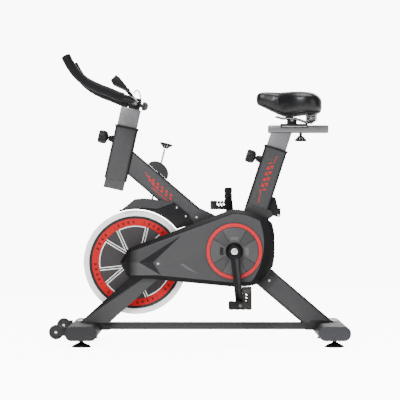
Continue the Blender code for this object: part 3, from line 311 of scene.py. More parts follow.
def long_edge(node):
    """The unit direction of a CAD node's longest straight edge, pointing down."""
    mesh = frame["nodes"][node].data
    runs = [mesh.vertices[e.vertices[0]].co - mesh.vertices[e.vertices[1]].co
            for e in mesh.edges]
    level = [run for run in runs if abs(run.y) < 0.0001]
    run = max(level, key=lambda r: r.length).normalized()
    return run if run.z < 0.0 else -run


joint_of = {joint["name"]: joint for joint in frame["joints"]}
PAINT = (0.056, 0.056, 0.058)
# Near-black painted shade for the tubes' rounded corners.
CORNER_SHADE = (0.003, 0.003, 0.003)
STRIPE_RED = (0.56, 0.012, 0.014)

beam_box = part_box("main_beam")
beam_way = long_edge("main_beam")
beam_up = Vector((-beam_way.z, 0.0, beam_way.x))
beam_low, beam_high = (
    min(v.co.dot(beam_up) for v in frame["nodes"]["main_beam"].data.vertices),
    max(v.co.dot(beam_up) for v in frame["nodes"]["main_beam"].data.vertices))
beam_middle = beam_up * (beam_low + beam_high) / 2
beam_head = beam_middle + beam_way * min(
    v.co.dot(beam_way) for v in frame["nodes"]["main_beam"].data.vertices)


def tube_paint(name, origin, way, up, half, marks):
    """Frame paint darkened towards a tube's corners as painted shade, with printed red marks."""
    made = powder_coat(name, PAINT, 0.42, Metallic=0.15, Specular_IOR_Level=0.2)
    run = made.along(origin, way)
    height = made.along(origin, up)
    # Painted shade: the colour darkens towards the tube's corners.
    corner_shade = (abs(height) - half * 0.68) / (half * 0.24)
    shade = made.node("Clamp", [corner_shade, 0.0, 1.0])
    colour = made.blend(shade * shade, PAINT, CORNER_SHADE)
    if marks:
        side = abs(made.along((0.0, 0.0, 0.0), (0.0, 1.0, 0.0))) > marks["side"]
        made.feed("Base Color", made.blend(marks["mask"](run, height).both(side), colour,
                                           STRIPE_RED))
    else:
        made.feed("Base Color", colour)
    return made


def beam_marks(run, height):
    """A thin line that steps down, with a row of slanted ticks over it."""
    line = abs(height + 0.0165).maths("LESS_THAN", 0.0010)
    line = line.both(run.between(0.125, 0.305))
    head = abs(height + 0.0045 + (run - 0.125) * 0.25).maths("LESS_THAN", 0.0011)
    head = head.both(run.between(0.075, 0.150))
    lean = run + height * 0.55
    tick = (lean % 0.0190).between(0.0, 0.0085)
    row = tick.both(lean.between(0.100, 0.209)).both(abs(height - 0.0005) < 0.0085)
    bar = abs(height - 0.0005 - (lean % 0.0190 - 0.004) * 0.9).maths("GREATER_THAN", 0.0022)
    return line.either(head).either(row.both(bar))


def seat_marks(run, height):
    """Slanted ticks up the tube between two thin lines."""
    lean = run + height * 0.45
    tick = (lean % 0.0200).between(0.0, 0.0115)
    row = tick.both(lean.between(0.048, 0.146)).both(abs(height) < 0.0095)
    bar = abs(height - (lean % 0.0200 - 0.0055) * 0.9).maths("GREATER_THAN", 0.0026)
    line = abs(height - (run - 0.190) * 0.16).maths("LESS_THAN", 0.0011)
    line = line.both(run.between(0.146, 0.190))
    top = abs(height - 0.010 + (run - 0.020) * 0.10).maths("LESS_THAN", 0.0011)
    top = top.both(run.between(0.022, 0.046))
    return row.both(bar).either(line).either(top)


half_beam = (beam_high - beam_low) / 2
beam_side = beam_box[1].y - 0.0012
seat_way = Vector(joint_of["seat_height"]["axis"]) * -1.0
seat_up = Vector((-seat_way.z, 0.0, seat_way.x))
seat_tube_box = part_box("seat_tube")
seat_bush_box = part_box("seat_bushing")
seat_mouth = (seat_bush_box[0] + seat_bush_box[1]) / 2
head_way = Vector(joint_of["handlebar_height"]["axis"]) * -1.0
head_up = Vector((-head_way.z, 0.0, head_way.x))
head_bush_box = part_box("head_bushing")
head_mouth = (head_bush_box[0] + head_bush_box[1]) / 2

BEAM_PAINT = tube_paint("beam_paint", beam_head, beam_way, beam_up, half_beam,
                        {"side": beam_side, "mask": beam_marks})
SEAT_PAINT = tube_paint("seat_tube_paint", seat_mouth, seat_way, seat_up, 0.038,
                        {"side": seat_tube_box[1].y - 0.0012, "mask": seat_marks})
HEAD_PAINT = tube_paint("head_sleeve_paint", head_mouth, head_way, head_up, 0.037, None)
leg_way = long_edge("fork_leg_left")
leg_up = Vector((-leg_way.z, 0.0, leg_way.x))
leg_points = [v.co for v in frame["nodes"]["fork_leg_left"].data.vertices
              if v.co.z < 0.08]
leg_middle = sum(leg_points, Vector()) / len(leg_points)
LEG_PAINT = tube_paint("fork_leg_paint", leg_middle, leg_way, leg_up, 0.033, None)
FRAME_PAINT = powder_coat("frame_paint", (0.040, 0.040, 0.042), 0.38, Metallic=0.2,
                          Specular_IOR_Level=0.2)

for node, name, finish, width in (
        ("main_beam", "beam_tube", BEAM_PAINT, 0.0045),
        ("seat_tube", "seat_sleeve", SEAT_PAINT, 0.0040),
        ("head_sleeve", "head_tube", HEAD_PAINT, 0.0040),
        ("fork_leg_left", "fork_blade_left", LEG_PAINT, 0.0030),
        ("fork_leg_right", "fork_blade_right", LEG_PAINT, 0.0030),
        ("bottom_rail", "floor_rail", FRAME_PAINT, 0.0030)):
    tube = piece_copy(node, name)
    rounded(tube, width, 3, 50.0)
    settled(tube, "frame", finish, "frame_paint", node)


# ---- plastic boots on the welds ----------------------------------------------------
# Moulded dark grey collars that hide the welds where the beam and the seat tube enter the
# belt cover. The beam's two are held by a cross-head screw in each side.
def started(name, points, edges, faces):
    """A new mesh object, selected and open for editing with all of it picked."""
    everything_deselected()
    mesh = bpy.data.meshes.new(name)
    mesh.from_pydata(points, edges, faces)
    made = bpy.data.objects.new(name, mesh)
    bpy.context.scene.collection.objects.link(made)
    bpy.context.view_layer.objects.active = made
    made.select_set(True)
    bpy.ops.object.mode_set(mode="EDIT")
    bpy.ops.mesh.select_all(action="SELECT")
    return made


def finished(made, weld=0.0):
    """Welds near points if asked, turns the normals outward and leaves edit mode."""
    bpy.ops.mesh.select_all(action="SELECT")
    if weld:
        bpy.ops.mesh.remove_doubles(threshold=weld)
    bpy.ops.mesh.normals_make_consistent(inside=False)
    bpy.ops.object.mode_set(mode="OBJECT")
    return made


def prism(name, outline, low, high):
    """A closed block: an outline in the side view, as (x, z), extruded across to high."""
    made = started(name, [(x, low, z) for x, z in outline], [], [list(range(len(outline)))])
    bpy.ops.mesh.extrude_region_move(TRANSFORM_OT_translate={"value": (0, high - low, 0)})
    return finished(made)


def block(sizes):
    """A plain block about the world's centre."""
    everything_deselected()
    bpy.ops.mesh.primitive_cube_add(size=1.0)
    made = bpy.context.object
    made.data.transform(Matrix.Diagonal((*sizes, 1.0)))
    return made


WELD = 0.00001              # points of one piece nearer than this are the same point


def lathe(name, profile, centre, axis, steps=48):
    """A turned piece: (radius, height) points spun round an axis through a centre."""
    axis = Vector(axis).normalized()
    centre = Vector(centre)
    aside = axis.orthogonal().normalized()
    points = [centre + aside * radius + axis * height for radius, height in profile]
    made = started(name, points, [(i, i + 1) for i in range(len(points) - 1)], [])
    bpy.ops.mesh.spin(steps=steps, angle=2 * math.pi, center=centre, axis=axis)
    return finished(made, WELD)


def joined(name, pieces):
    """Several pieces made of the same stuff, as one."""
    everything_deselected()
    for piece in pieces:
        piece.select_set(True)
    bpy.context.view_layer.objects.active = pieces[0]
    bpy.ops.object.join()
    pieces[0].name = name
    return pieces[0]


def carved(piece, tool):
    """Cuts one piece with another and throws the cutter away."""
    modified(piece, "BOOLEAN", object=tool, operation="DIFFERENCE", solver="EXACT")
    bpy.data.objects.remove(tool)
    return piece


def moulded(name, colour, roughness, grain=0.00006, **constants):
    """Injection-moulded plastic with a fine spark-eroded texture."""
    made = Finish(name, colour, roughness, **constants)
    cloud = made.noise(30.0, 3.0)
    made.feed("Roughness", cloud * 0.12 + (roughness - 0.06))
    made.bump(made.noise(1600.0, 1.0), grain, 0.6)
    return made


BLACK_MOULDED = moulded("black_moulded", (0.010, 0.010, 0.011), 0.42,
                        Specular_IOR_Level=0.18)
SCREW_STEEL = Finish("screw_steel", (0.85, 0.85, 0.86), 0.35, Metallic=0.3)
SCREW_STEEL.feed("Roughness", SCREW_STEEL.noise(300.0) * 0.2 + 0.22)


def screw(name, centre, axis, radius=0.0036):
    """A pan-head screw with a cross recess."""
    axis = Vector(axis).normalized()
    head = [(0.0, -0.004), (radius * 0.5, -0.004), (radius * 0.5, 0.0), (radius, 0.0),
            (radius, 0.0008), (radius * 0.8, 0.0018), (0.0, 0.0022)]
    made = lathe(name, head, centre, axis, 24)
    for turn in (0.0, math.pi / 2):
        slot = block((radius * 1.1, radius * 0.26, 0.0022))
        slot.data.transform(Matrix.Rotation(turn + 0.5, 4, "Z"))
        slot.data.transform(axis.to_track_quat("Z", "Y").to_matrix().to_4x4())
        slot.data.transform(Matrix.Translation(Vector(centre) + axis * 0.0022))
        carved(made, slot)
    return made


BOOT = moulded("boot_plastic", (0.036, 0.036, 0.038), 0.45, Specular_IOR_Level=0.18)
boots = (
    ("beam_boot_upper", [(0.001, 0.4480), (0.051, 0.4240), (0.048, 0.4130), (-0.039, 0.3890),
                         (-0.0365, 0.4200)], (-0.0115, 0.4175), "main_beam"),
    ("beam_boot_lower", [(0.199, 0.196), (0.243, 0.243), (0.261, 0.221), (0.2235, 0.178)],
     (0.230, 0.208), "main_beam"),
    ("seat_boot", [(0.159, 0.464), (0.235, 0.440), (0.2440, 0.4230), (0.2270, 0.4100),
                   (0.148, 0.4390)], None, "seat_tube"))
for name, loop, screw_at, tube in boots:
    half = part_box(tube)[1].y + 0.0028
    boot = prism(name, loop, -half, half)
    hollow = prism("hollow", [(x * 1.6 - 0.6 * sum(p[0] for p in loop) / len(loop),
                               z * 1.6 - 0.6 * sum(p[1] for p in loop) / len(loop))
                              for x, z in loop], -half + 0.0025, half - 0.0025)
    carved(boot, hollow)
    rounded(boot, 0.0008, 2, 40.0)
    settled(boot, "frame", BOOT, "black_plastic")
    for side in (-1.0, 1.0):
        if screw_at:
            place = (screw_at[0], side * half, screw_at[1])
            pin = screw(name + ("_screw_l" if side < 0 else "_screw_r"), place, (0, side, 0))
            settled(pin, "frame", SCREW_STEEL, "chrome")

for node, name in (("head_bushing", "head_collar"), ("seat_bushing", "seat_collar")):
    collar = piece_copy(node, name)
    rounded(collar, 0.0012, 3, 40.0)
    settled(collar, "frame", BLACK_MOULDED, "black_plastic", node)


# ---- floor stabilizers -------------------------------------------------------------
# Two oblong steel tubes across the ends, closed by press-in plastic caps. Each is held
# by two carriage bolts with washers and nuts through a curved saddle bracket.
def oblong(centre_x, centre_z, width, height, radius, steps=10):
    """The outline of a rounded bar in the side view."""
    points = []
    for turn, sx, sz in ((0, 1, 1), (90, -1, 1), (180, -1, -1), (270, 1, -1)):
        for step in range(steps + 1):
            angle = math.radians(turn + 90.0 * step / steps)
            x = centre_x + sx * (width / 2 - radius) + radius * math.cos(angle)
            z = centre_z + sz * (height / 2 - radius) + radius * math.sin(angle)
            points.append((x, z))
    return points


TUBE_PAINT = powder_coat("stabilizer_paint", (0.008, 0.008, 0.009), 0.50, Metallic=0.15,
                         Specular_IOR_Level=0.2)
FRONT_CAP = moulded("front_cap_plastic", (0.026, 0.026, 0.028), 0.45,
                    Specular_IOR_Level=0.18)
REAR_CAP = moulded("rear_cap_plastic", (0.044, 0.044, 0.049), 0.45,
                   Specular_IOR_Level=0.18)
SADDLE_PAINT = powder_coat("saddle_bracket_paint", (0.020, 0.020, 0.019), 0.45,
                           Specular_IOR_Level=0.18)
for end, cap_finish, toward in (("front", FRONT_CAP, 1.0), ("rear", REAR_CAP, -1.0)):
    low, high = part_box(end + "_stabilizer")
    middle_x = (low.x + high.x) / 2
    middle_z = (low.z + high.z) / 2
    width = high.x - low.x
    height = high.z - low.z
    loop = oblong(middle_x, middle_z, width, height, height * 0.47)
    bar = prism(end + "_floor_tube", loop, low.y + 0.006, high.y - 0.006)
    settled(bar, "frame", TUBE_PAINT, "frame_paint", end + "_stabilizer")
    for side_name, side in (("left", -1.0), ("right", 1.0)):
        inner = side * (high.y - 0.0072)
        loop = oblong(middle_x, middle_z, width - 0.0006, height - 0.0006, height * 0.465)
        cap = prism(end + "_cap_" + side_name, loop, inner, side * high.y)
        rounded(cap, 0.0016, 3, 40.0)
        settled(cap, "frame", cap_finish, "black_plastic")
    inner_x = middle_x + toward * width / 2
    saddle = prism(end + "_bolt_bracket",
                   [(middle_x, high.z + 0.0003),
                    (middle_x + toward * 0.004, high.z + 0.0080),
                    (inner_x + toward * 0.014, high.z + 0.0080),
                    (inner_x + toward * 0.036, high.z - 0.0200),
                    (inner_x + toward * 0.030, high.z - 0.0250),
                    (inner_x + toward * 0.0006, middle_z - 0.002),
                    (inner_x - toward * 0.006, high.z - 0.0090),
                    (inner_x - toward * 0.020, high.z + 0.0003)], -0.0205, 0.0205)
    rounded(saddle, 0.0010, 2, 40.0)
    settled(saddle, "frame", SADDLE_PAINT, "frame_paint")
    for side_name, side in (("left", -1.0), ("right", 1.0)):
        seat = (middle_x + toward * 0.010, side * 0.0125, high.z + 0.0060)
        out = Vector((-toward, 0.0, 0.0))
        stud = lathe(end + "_stud_" + side_name,
                     [(0.0, -0.004), (0.0018, -0.004), (0.0018, 0.033), (0.0014, 0.0345),
                      (0.0, 0.0345)], seat, out, 20)
        washer = lathe("washer", [(0.0018, 0.0085), (0.0056, 0.0085), (0.0056, 0.0098),
                                  (0.0018, 0.0098), (0.0018, 0.0085)], seat, out, 28)
        nut = lathe("nut", [(0.0018, 0.0100), (0.0040, 0.0100), (0.0044, 0.0106),
                            (0.0044, 0.0134), (0.0040, 0.0140), (0.0018, 0.0140),
                            (0.0018, 0.0100)], seat, out, 6)
        bolt = joined(end + "_bolt_" + side_name, [stud, washer, nut])
        settled(bolt, "frame", SCREW_STEEL, "chrome")


# ---- feet and transport wheels -----------------------------------------------------
# Wide rubber cones on threaded studs level the bike. Two small rubber-tyred wheels on
# moulded forks let it be tipped and rolled; a bright rivet shows in each hub.
RUBBER = Finish("black_rubber", (0.005, 0.005, 0.005), 0.62, Specular_IOR_Level=0.2)
RUBBER.feed("Roughness", RUBBER.noise(60.0) * 0.2 + 0.52)
RUBBER.bump(RUBBER.noise(700.0, 2.0), 0.0002, 0.5)
for end in ("front", "rear"):
    for side_name in ("left", "right"):
        node = "foot_" + end + "_" + side_name
        low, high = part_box(node)
        middle = ((low.x + high.x) / 2, (low.y + high.y) / 2, 0.0)
        reach = (high.x - low.x) / 2
        cone = lathe(node + "_pad", [
            (0.0, 0.0), (reach - 0.0020, 0.0), (reach - 0.0004, 0.0010), (reach, 0.0024),
            (reach - 0.0005, 0.0038), (reach - 0.0025, 0.0050), (reach * 0.78, 0.0080),
            (reach * 0.50, 0.0118), (reach * 0.30, 0.0150), (reach * 0.21, 0.0178),
            (reach * 0.20, 0.0196), (0.0, 0.0196)], middle, (0, 0, 1), 56)
        settled(cone, node, RUBBER, "rubber", node)
        stud = lathe(node + "_stud", [(0.0, 0.0185), (0.0050, 0.0185), (0.0050, 0.0200),
                                      (0.0044, 0.0206), (0.0, 0.0206)], middle, (0, 0, 1), 24)
        settled(stud, node, SCREW_STEEL, "chrome")

WHEEL_RUBBER = Finish("wheel_rubber", (0.026, 0.025, 0.024), 0.55,
                      Specular_IOR_Level=0.18)
WHEEL_RUBBER.feed("Roughness", WHEEL_RUBBER.noise(80.0) * 0.2 + 0.45)
BRIGHT_DOT = Finish("rivet_bright", (0.86, 0.86, 0.86), 0.35)
for side_name, side in (("left", -1.0), ("right", 1.0)):
    node = "transport_wheel_" + side_name
    low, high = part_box(node)
    middle = (low + high) / 2
    reach = (high.x - low.x) / 2
    half = (high.y - low.y) / 2
    loop = [(0.0046, half - 0.0012), (0.0085, half - 0.0012), (0.0095, half - 0.0004),
            (reach - 0.0050, half - 0.0004), (reach - 0.0020, half - 0.0014),
            (reach - 0.0004, half - 0.0042), (reach, half - 0.0075)]
    loop = loop + [(radius, -height) for radius, height in reversed(loop)]
    tyre = lathe(node + "_tyre", loop + loop[:1], middle, (0, 1, 0), 64)
    settled(tyre, node, WHEEL_RUBBER, "rubber", node)
    bracket = piece_copy("wheel_bracket_" + side_name, "wheel_fork_" + side_name)
    rounded(bracket, 0.0006, 2, 40.0)
    settled(bracket, "frame", FRONT_CAP, "black_plastic", "wheel_bracket_" + side_name)
    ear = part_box("wheel_bracket_" + side_name)
    for end_name, face_y, out in (("in", ear[0].y, -1.0), ("out", ear[1].y, 1.0)):
        rivet = lathe("wheel_rivet_" + side_name + "_" + end_name,
                      [(0.0, 0.0012), (0.0016, 0.0012), (0.0020, 0.0006), (0.0026, 0.0016),
                       (0.0036, 0.0016), (0.0042, 0.0006), (0.0042, -0.0010),
                       (0.0, -0.0010)], (middle.x, face_y, middle.z), (0, out, 0), 32)
        settled(rivet, "frame", BRIGHT_DOT, "chrome")


# ---- flywheel ----------------------------------------------------------------------
# A weighted cast wheel: a polished bright rim, a dark web printed with a red ring and
# five arms outlined in white, and a steel axle that carries the small belt pulley.
low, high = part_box("flywheel")
fly_centre = (low + high) / 2
fly_radius = (high.x - low.x) / 2
RIM_INSIDE = 0.1540
POLISHED = Finish("polished_rim", (0.99, 0.99, 0.99), 0.30)
turned_marks = POLISHED.node("TexWave", {"Vector": POLISHED.spot(), "Scale": 260.0,
                                      "Distortion": 0.0}, wave_type="RINGS",
                             rings_direction="Y", out=1)
POLISHED.feed("Roughness", turned_marks * 0.08 + 0.26)
rim_half = 0.0120
rim = lathe("flywheel_rim", [
    (RIM_INSIDE, 0.0), (RIM_INSIDE, rim_half - 0.0030), (RIM_INSIDE + 0.0012, rim_half - 0.0016),
    (RIM_INSIDE + 0.0060, rim_half - 0.0012), (RIM_INSIDE + 0.0068, rim_half - 0.0002),
    (fly_radius - 0.0030, rim_half), (fly_radius - 0.0008, rim_half - 0.0008),
    (fly_radius, rim_half - 0.0028), (fly_radius, 0.0028 - rim_half),
    (fly_radius - 0.0008, 0.0008 - rim_half), (fly_radius - 0.0030, -rim_half),
    (RIM_INSIDE + 0.0068, 0.0002 - rim_half), (RIM_INSIDE + 0.0060, 0.0012 - rim_half),
    (RIM_INSIDE + 0.0012, 0.0016 - rim_half), (RIM_INSIDE, 0.0030 - rim_half),
    (RIM_INSIDE, 0.0)], fly_centre, (0, 1, 0), 160)
settled(rim, "flywheel_set", POLISHED, "flywheel_iron", "flywheel")


def round_about(finish, centre):
    """How far ahead of a centre the point is, its radius, and its bearing, side on."""
    ahead = finish.along(centre, (1.0, 0.0, 0.0))
    above = finish.along(centre, (0.0, 0.0, 1.0))
    reach = (ahead * ahead + above * above).maths("SQRT")
    return ahead, reach, finish.node("Math", [above, ahead], operation="ARCTAN2")


WEB = Finish("flywheel_print", (0.070, 0.068, 0.069), 0.42, Metallic=0.1,
             Specular_IOR_Level=0.18)
across, radius, bearing = round_about(WEB, fly_centre)
FIFTH = math.radians(72.0)
turned_by = (bearing - math.radians(131.5 - 36.0 - 360.0)) % FIFTH - FIFTH / 2
along_arm = radius * turned_by.maths("COSINE")
beside_arm = abs(radius * turned_by.maths("SINE"))
SPLAY = math.radians(17.4)
arm = beside_arm * math.cos(SPLAY) - (along_arm - 0.049) * math.sin(SPLAY)
inside = radius.between(0.040, 0.1212)
inlaid = arm.between(0.0062, 0.0092).both(inside)
spine = (abs(arm) < 0.0014).both(inside)
panel_arc = radius.between(0.1180, 0.1212).both(arm > 0.0092)
white = inlaid.either(spine).either(panel_arc)
red = radius.between(0.1225, 0.1450)
dark_ring = (radius > 0.1450).either(radius.between(0.1212, 0.1225))
tick_turn = (bearing * (1.0 / math.radians(7.5))) % 1.0
tick = tick_turn.between(0.20, 0.55).both(radius.between(0.1290, 0.1385))
gaps = ((bearing * (1.0 / math.radians(45.0))) % 1.0).between(0.0, 0.72)
tick = tick.both(gaps)
colour = WEB.blend(white, (0.046, 0.042, 0.043), (0.95, 0.95, 0.95))
colour = WEB.blend(red, colour, (0.50, 0.006, 0.009))
colour = WEB.blend(tick, colour, (0.10, 0.008, 0.010))
colour = WEB.blend(dark_ring, colour, (0.022, 0.022, 0.023))
colour = WEB.blend(radius < 0.033, colour, (0.014, 0.014, 0.015))
WEB.feed("Base Color", colour)
WEB.bump(white.either(red), 0.0003, 0.6)
web = lathe("flywheel_web", [
    (0.0083, 0.0148), (0.0240, 0.0148), (0.0262, 0.0135), (0.0285, 0.0062), (0.0320, 0.0052),
    (0.1470, 0.0052), (0.1500, 0.0062), (0.1541, 0.0090), (0.1541, -0.0090),
    (0.1500, -0.0062), (0.1470, -0.0052), (0.0320, -0.0052), (0.0285, -0.0062),
    (0.0262, -0.0135), (0.0240, -0.0148), (0.0083, -0.0148), (0.0083, 0.0148)],
            fly_centre, (0, 1, 0), 160)
settled(web, "flywheel_set", WEB, "flywheel_iron")

DARK_STEEL = Finish("dark_steel", (0.16, 0.16, 0.165), 0.38, Metallic=1.0)
DARK_STEEL.feed("Roughness", DARK_STEEL.noise(200.0) * 0.25 + 0.26)
for node, name, body in (("flywheel_axle", "flywheel_axle_turned", "flywheel_set"),
                         ("crank_axle", "crank_axle_turned", "crank_set"),
                         ("crank_pulley", "crank_pulley_turned", "crank_set"),
                         ("bottom_bracket_shell", "bracket_shell_turned", "frame")):
    turned_piece = piece_copy(node, name)
    rounded(turned_piece, 0.0005, 2, 40.0)
    settled(turned_piece, body, DARK_STEEL, "dark_steel", node, smooth=40.0)
BELT = Finish("belt_rubber", (0.010, 0.010, 0.010), 0.55)
BELT.feed("Roughness", BELT.noise(150.0) * 0.2 + 0.45)
belt = piece_copy("drive_belt", "ribbed_belt")
settled(belt, "frame", BELT, "rubber", "drive_belt")


# ---- wheel fenders -----------------------------------------------------------------
# Two dark mouldings over the front wheel: a splash cover with a soft top and a guard
# that closes it down to the belt cover, held by two screws a side.
FENDER = moulded("fender_plastic", (0.040, 0.040, 0.042), 0.46, Specular_IOR_Level=0.18)
GUARD = moulded("guard_plastic", (0.010, 0.010, 0.011), 0.40, Specular_IOR_Level=0.18)
for node, name, finish, slot, width in (
        ("fender_top", "splash_cover", FENDER, "cover_plastic", 0.0006),
        ("fender_guard", "wheel_guard", GUARD, "black_plastic", 0.0004)):
    shell = piece_copy(node, name)
    rounded(shell, width, 3, 35.0)
    settled(shell, "frame", finish, slot, node)
guard_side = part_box("fender_guard")[1].y
lining = (0.0178, guard_side - 0.0006)      # clear of the wheel and shoe, under the skin
for side_name, side in (("left", -1.0), ("right", 1.0)):
    lip = prism("fender_lip_" + side_name,
                [(-0.199, 0.4440), (-0.142, 0.4385), (-0.084, 0.4580), (-0.087, 0.4680),
                 (-0.142, 0.4510), (-0.194, 0.4560)], side * lining[0], side * lining[1])
    settled(lip, "frame", GUARD, "black_plastic")
    tongue = prism("guard_tongue_" + side_name,
                   [(-0.0790, 0.3785), (-0.0420, 0.4080), (-0.0370, 0.4265), (-0.0200, 0.3950)],
                   side * lining[0], side * lining[1])
    settled(tongue, "frame", GUARD, "black_plastic")
for number, (x, z) in enumerate(((-0.077, 0.450), (-0.047, 0.421))):
    for side_name, side in (("left", -1.0), ("right", 1.0)):
        pin = screw("guard_screw_%s_%d" % (side_name, number), (x, side * guard_side, z),
                    (0, side, 0), 0.0030)
        settled(pin, "frame", SCREW_STEEL, "chrome")


# ---- brake -------------------------------------------------------------------------
# A felt shoe over the rim, pressed by a thin chromed rod that runs through a round
# pressed-steel housing up to a funnel-shaped tension knob with printed ticks.
CHROME = Finish("chrome", (0.82, 0.82, 0.83), 0.10, Metallic=1.0)
CHROME.feed("Roughness", CHROME.noise(40.0) * 0.06 + 0.07)
FELT = Finish("brake_felt", (0.060, 0.056, 0.052), 0.95)
FELT.bump(FELT.noise(900.0, 4.0, (1.0, 2.0, 1.0)), 0.0006, 0.8)
rod = piece_copy("brake_rod", "tension_rod")
settled(rod, "brake_plunger", CHROME, "chrome", "brake_rod", smooth=40.0)
shoe = piece_copy("brake_shoe", "felt_shoe")
rounded(shoe, 0.0012, 2, 40.0)
settled(shoe, "brake_plunger", FELT, "felt", "brake_shoe")
housing = piece_copy("brake_housing", "rod_housing")
rounded(housing, 0.0022, 3, 30.0)
HOUSING = powder_coat("housing_paint", (0.030, 0.030, 0.032), 0.45, Metallic=0.2,
                      Specular_IOR_Level=0.2)
settled(housing, "frame", HOUSING, "frame_paint", "brake_housing")
rod_axis = Vector(joint_of["resistance_turn"]["axis"])
low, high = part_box("brake_knob")
knob_middle = (low + high) / 2
knob_foot = knob_middle - rod_axis * 0.0095
KNOB = Finish("knob_plastic", (0.008, 0.008, 0.009), 0.38, Specular_IOR_Level=0.18)
knob_height = KNOB.along(knob_foot, rod_axis)
knob_aside = KNOB.along(knob_foot, (0.0, 1.0, 0.0))
knob_ahead = KNOB.along(knob_foot, rod_axis.cross(Vector((0.0, 1.0, 0.0))))
knob_turn = KNOB.node("Math", [knob_ahead, knob_aside], operation="ARCTAN2")
knob_tick = ((knob_turn * (6.0 / math.pi)) % 1.0).between(0.40, 0.60)
knob_tick = knob_tick.both(knob_height.between(0.0030, 0.0100))
KNOB.feed("Base Color", KNOB.blend(knob_tick, (0.008, 0.008, 0.009), (0.55, 0.55, 0.56)))
funnel = lathe("tension_knob", [
    (0.0, 0.0185), (0.0120, 0.0185), (0.0180, 0.0180), (0.0205, 0.0168), (0.0214, 0.0150),
    (0.0212, 0.0132), (0.0198, 0.0116), (0.0160, 0.0082), (0.0116, 0.0040),
    (0.0092, 0.0010), (0.0085, 0.0), (0.0, 0.0)], knob_foot, rod_axis, 60)
settled(funnel, "brake_knob", KNOB, "black_plastic", "brake_knob")


# ---- belt covers -------------------------------------------------------------------
# Two moulded half shells round the belt drive: a sloped dark band, a flat face with a
# faceted arrowhead at the front, a raised flash and bright screws. The arrowhead's facets
# are painted lighter and darker as painted light and shade, and the flash is painted
# lighter as a painted highlight.
COVER = moulded("cover_plastic", (0.058, 0.058, 0.060), 0.40, Specular_IOR_Level=0.12)
depth = abs(COVER.along((0.0, 0.0, 0.0), (0.0, 1.0, 0.0)))
height = COVER.along((0.0, 0.0, 0.0), (0.0, 0.0, 1.0))
on_band = depth < (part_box("cover_right")[1].y - 0.0003)
fade = COVER.node("Clamp", [(0.405 - height) / 0.17, 0.0, 1.0])
band = COVER.blend(fade, (0.008, 0.008, 0.009), (0.002, 0.002, 0.002))
BEND_CENTRE = (0.0, 0.0, 0.330)     # the face's grey ends on this arc at the rear
BEND_RADIUS = 0.211
rearward, bend_reach = round_about(COVER, BEND_CENTRE)[:2]
on_band = on_band.either((bend_reach > BEND_RADIUS).both(rearward > 0.0))
COVER.feed("Base Color", COVER.blend(on_band, (0.058, 0.058, 0.060), band))

# The arrowhead's facets are painted lighter or darker as painted light and shade, and its tip
# fades to black as painted shade.
SHADED_CREST = moulded("crest_plastic", (0.100, 0.100, 0.102), 0.38, Specular_IOR_Level=0.12)
APEX = (-0.2011, 0.2694)
below = SHADED_CREST.along((0.0, 0.0, APEX[1]), (0.0, 0.0, 1.0)) < 0.0
lower_way = Vector((-0.1296 - APEX[0], 0.0, 0.2270 - APEX[1])).normalized()
outside = SHADED_CREST.along((APEX[0], 0.0, APEX[1]), (lower_way.z, 0.0, -lower_way.x)) > 0.0
upper_way = Vector((-0.0626 - APEX[0], 0.0, 0.3576 - APEX[1])).normalized()
under = SHADED_CREST.along((APEX[0], 0.0, APEX[1]), (upper_way.z, 0.0, -upper_way.x)) > 0.0
upper = SHADED_CREST.blend(under, (0.046, 0.046, 0.048), (0.008, 0.008, 0.009))
lower = SHADED_CREST.blend(outside, (0.020, 0.020, 0.021), (0.070, 0.070, 0.072))
behind_tip = SHADED_CREST.along((-0.2330, 0.0, 0.0), (1.0, 0.0, 0.0)) / 0.030
tip_shade = SHADED_CREST.node("Clamp", [behind_tip, 0.0, 1.0])
SHADED_CREST.feed("Base Color", SHADED_CREST.blend(tip_shade, (0.003, 0.003, 0.003),
                                     SHADED_CREST.blend(below, upper, lower)))
# The raised flash is a lighter copy of the cover plastic, a painted highlight.
CREASE_HIGHLIGHT = moulded("flash_plastic", (0.088, 0.088, 0.091), 0.40, Specular_IOR_Level=0.18)


def faceted(name, corners, faces, floor_y):
    """A raised facet group: corners (x, depth, z), closed by a floor behind it."""
    made = started(name, corners, [], faces)
    bpy.ops.mesh.extrude_region_move(TRANSFORM_OT_translate={"value": (0, 0, 0)})
    bpy.ops.object.mode_set(mode="OBJECT")
    for index in range(len(corners)):
        made.data.vertices[index].co.y = floor_y
    bpy.ops.object.mode_set(mode="EDIT")
    return finished(made)


for side_name, side in (("left", -1.0), ("right", 1.0)):
    node = "cover_" + side_name
    face_y = max(abs(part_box(node)[0].y), abs(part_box(node)[1].y))
    shell = piece_copy(node, "belt_cover_" + side_name)
    rounded(shell, 0.0016, 3, 20.0)
    settled(shell, "frame", COVER, "cover_plastic", node, smooth=24.0)
    corners = [(-0.2546, side * (face_y - 0.0012), 0.2699),
               (-0.2320, side * (face_y + 0.0006), 0.3020),
               (-0.0626, side * (face_y + 0.0004), 0.3576),
               (APEX[0], side * (face_y + 0.0066), APEX[1]),
               (-0.1550, side * (face_y + 0.0003), 0.2694),
               (-0.1296, side * (face_y + 0.0004), 0.2270),
               (-0.2341, side * (face_y - 0.0010), 0.2262)]
    crest = faceted("cover_crest_" + side_name, corners,
                    [(0, 1, 3), (1, 2, 3), (2, 4, 3), (3, 4, 5), (3, 5, 6), (0, 3, 6)],
                    side * (face_y - 0.0026))
    settled(crest, "frame", SHADED_CREST, "cover_plastic", smooth=2.0)
    corners = [(-0.0680, side * (face_y + 0.0002), 0.2652),
               (-0.0530, side * (face_y + 0.0016), 0.2645),
               (-0.0040, side * (face_y + 0.0002), 0.2305),
               (-0.0440, side * (face_y + 0.0004), 0.2465)]
    flash = faceted("cover_flash_" + side_name, corners, [(0, 1, 3), (1, 2, 3)],
                    side * (face_y - 0.0012))
    settled(flash, "frame", CREASE_HIGHLIGHT, "cover_plastic", smooth=2.0)
    pin = screw("cover_screw_" + side_name, (-0.1383, side * face_y, 0.2650),
                (0, side, 0))
    settled(pin, "frame", SCREW_STEEL, "chrome")
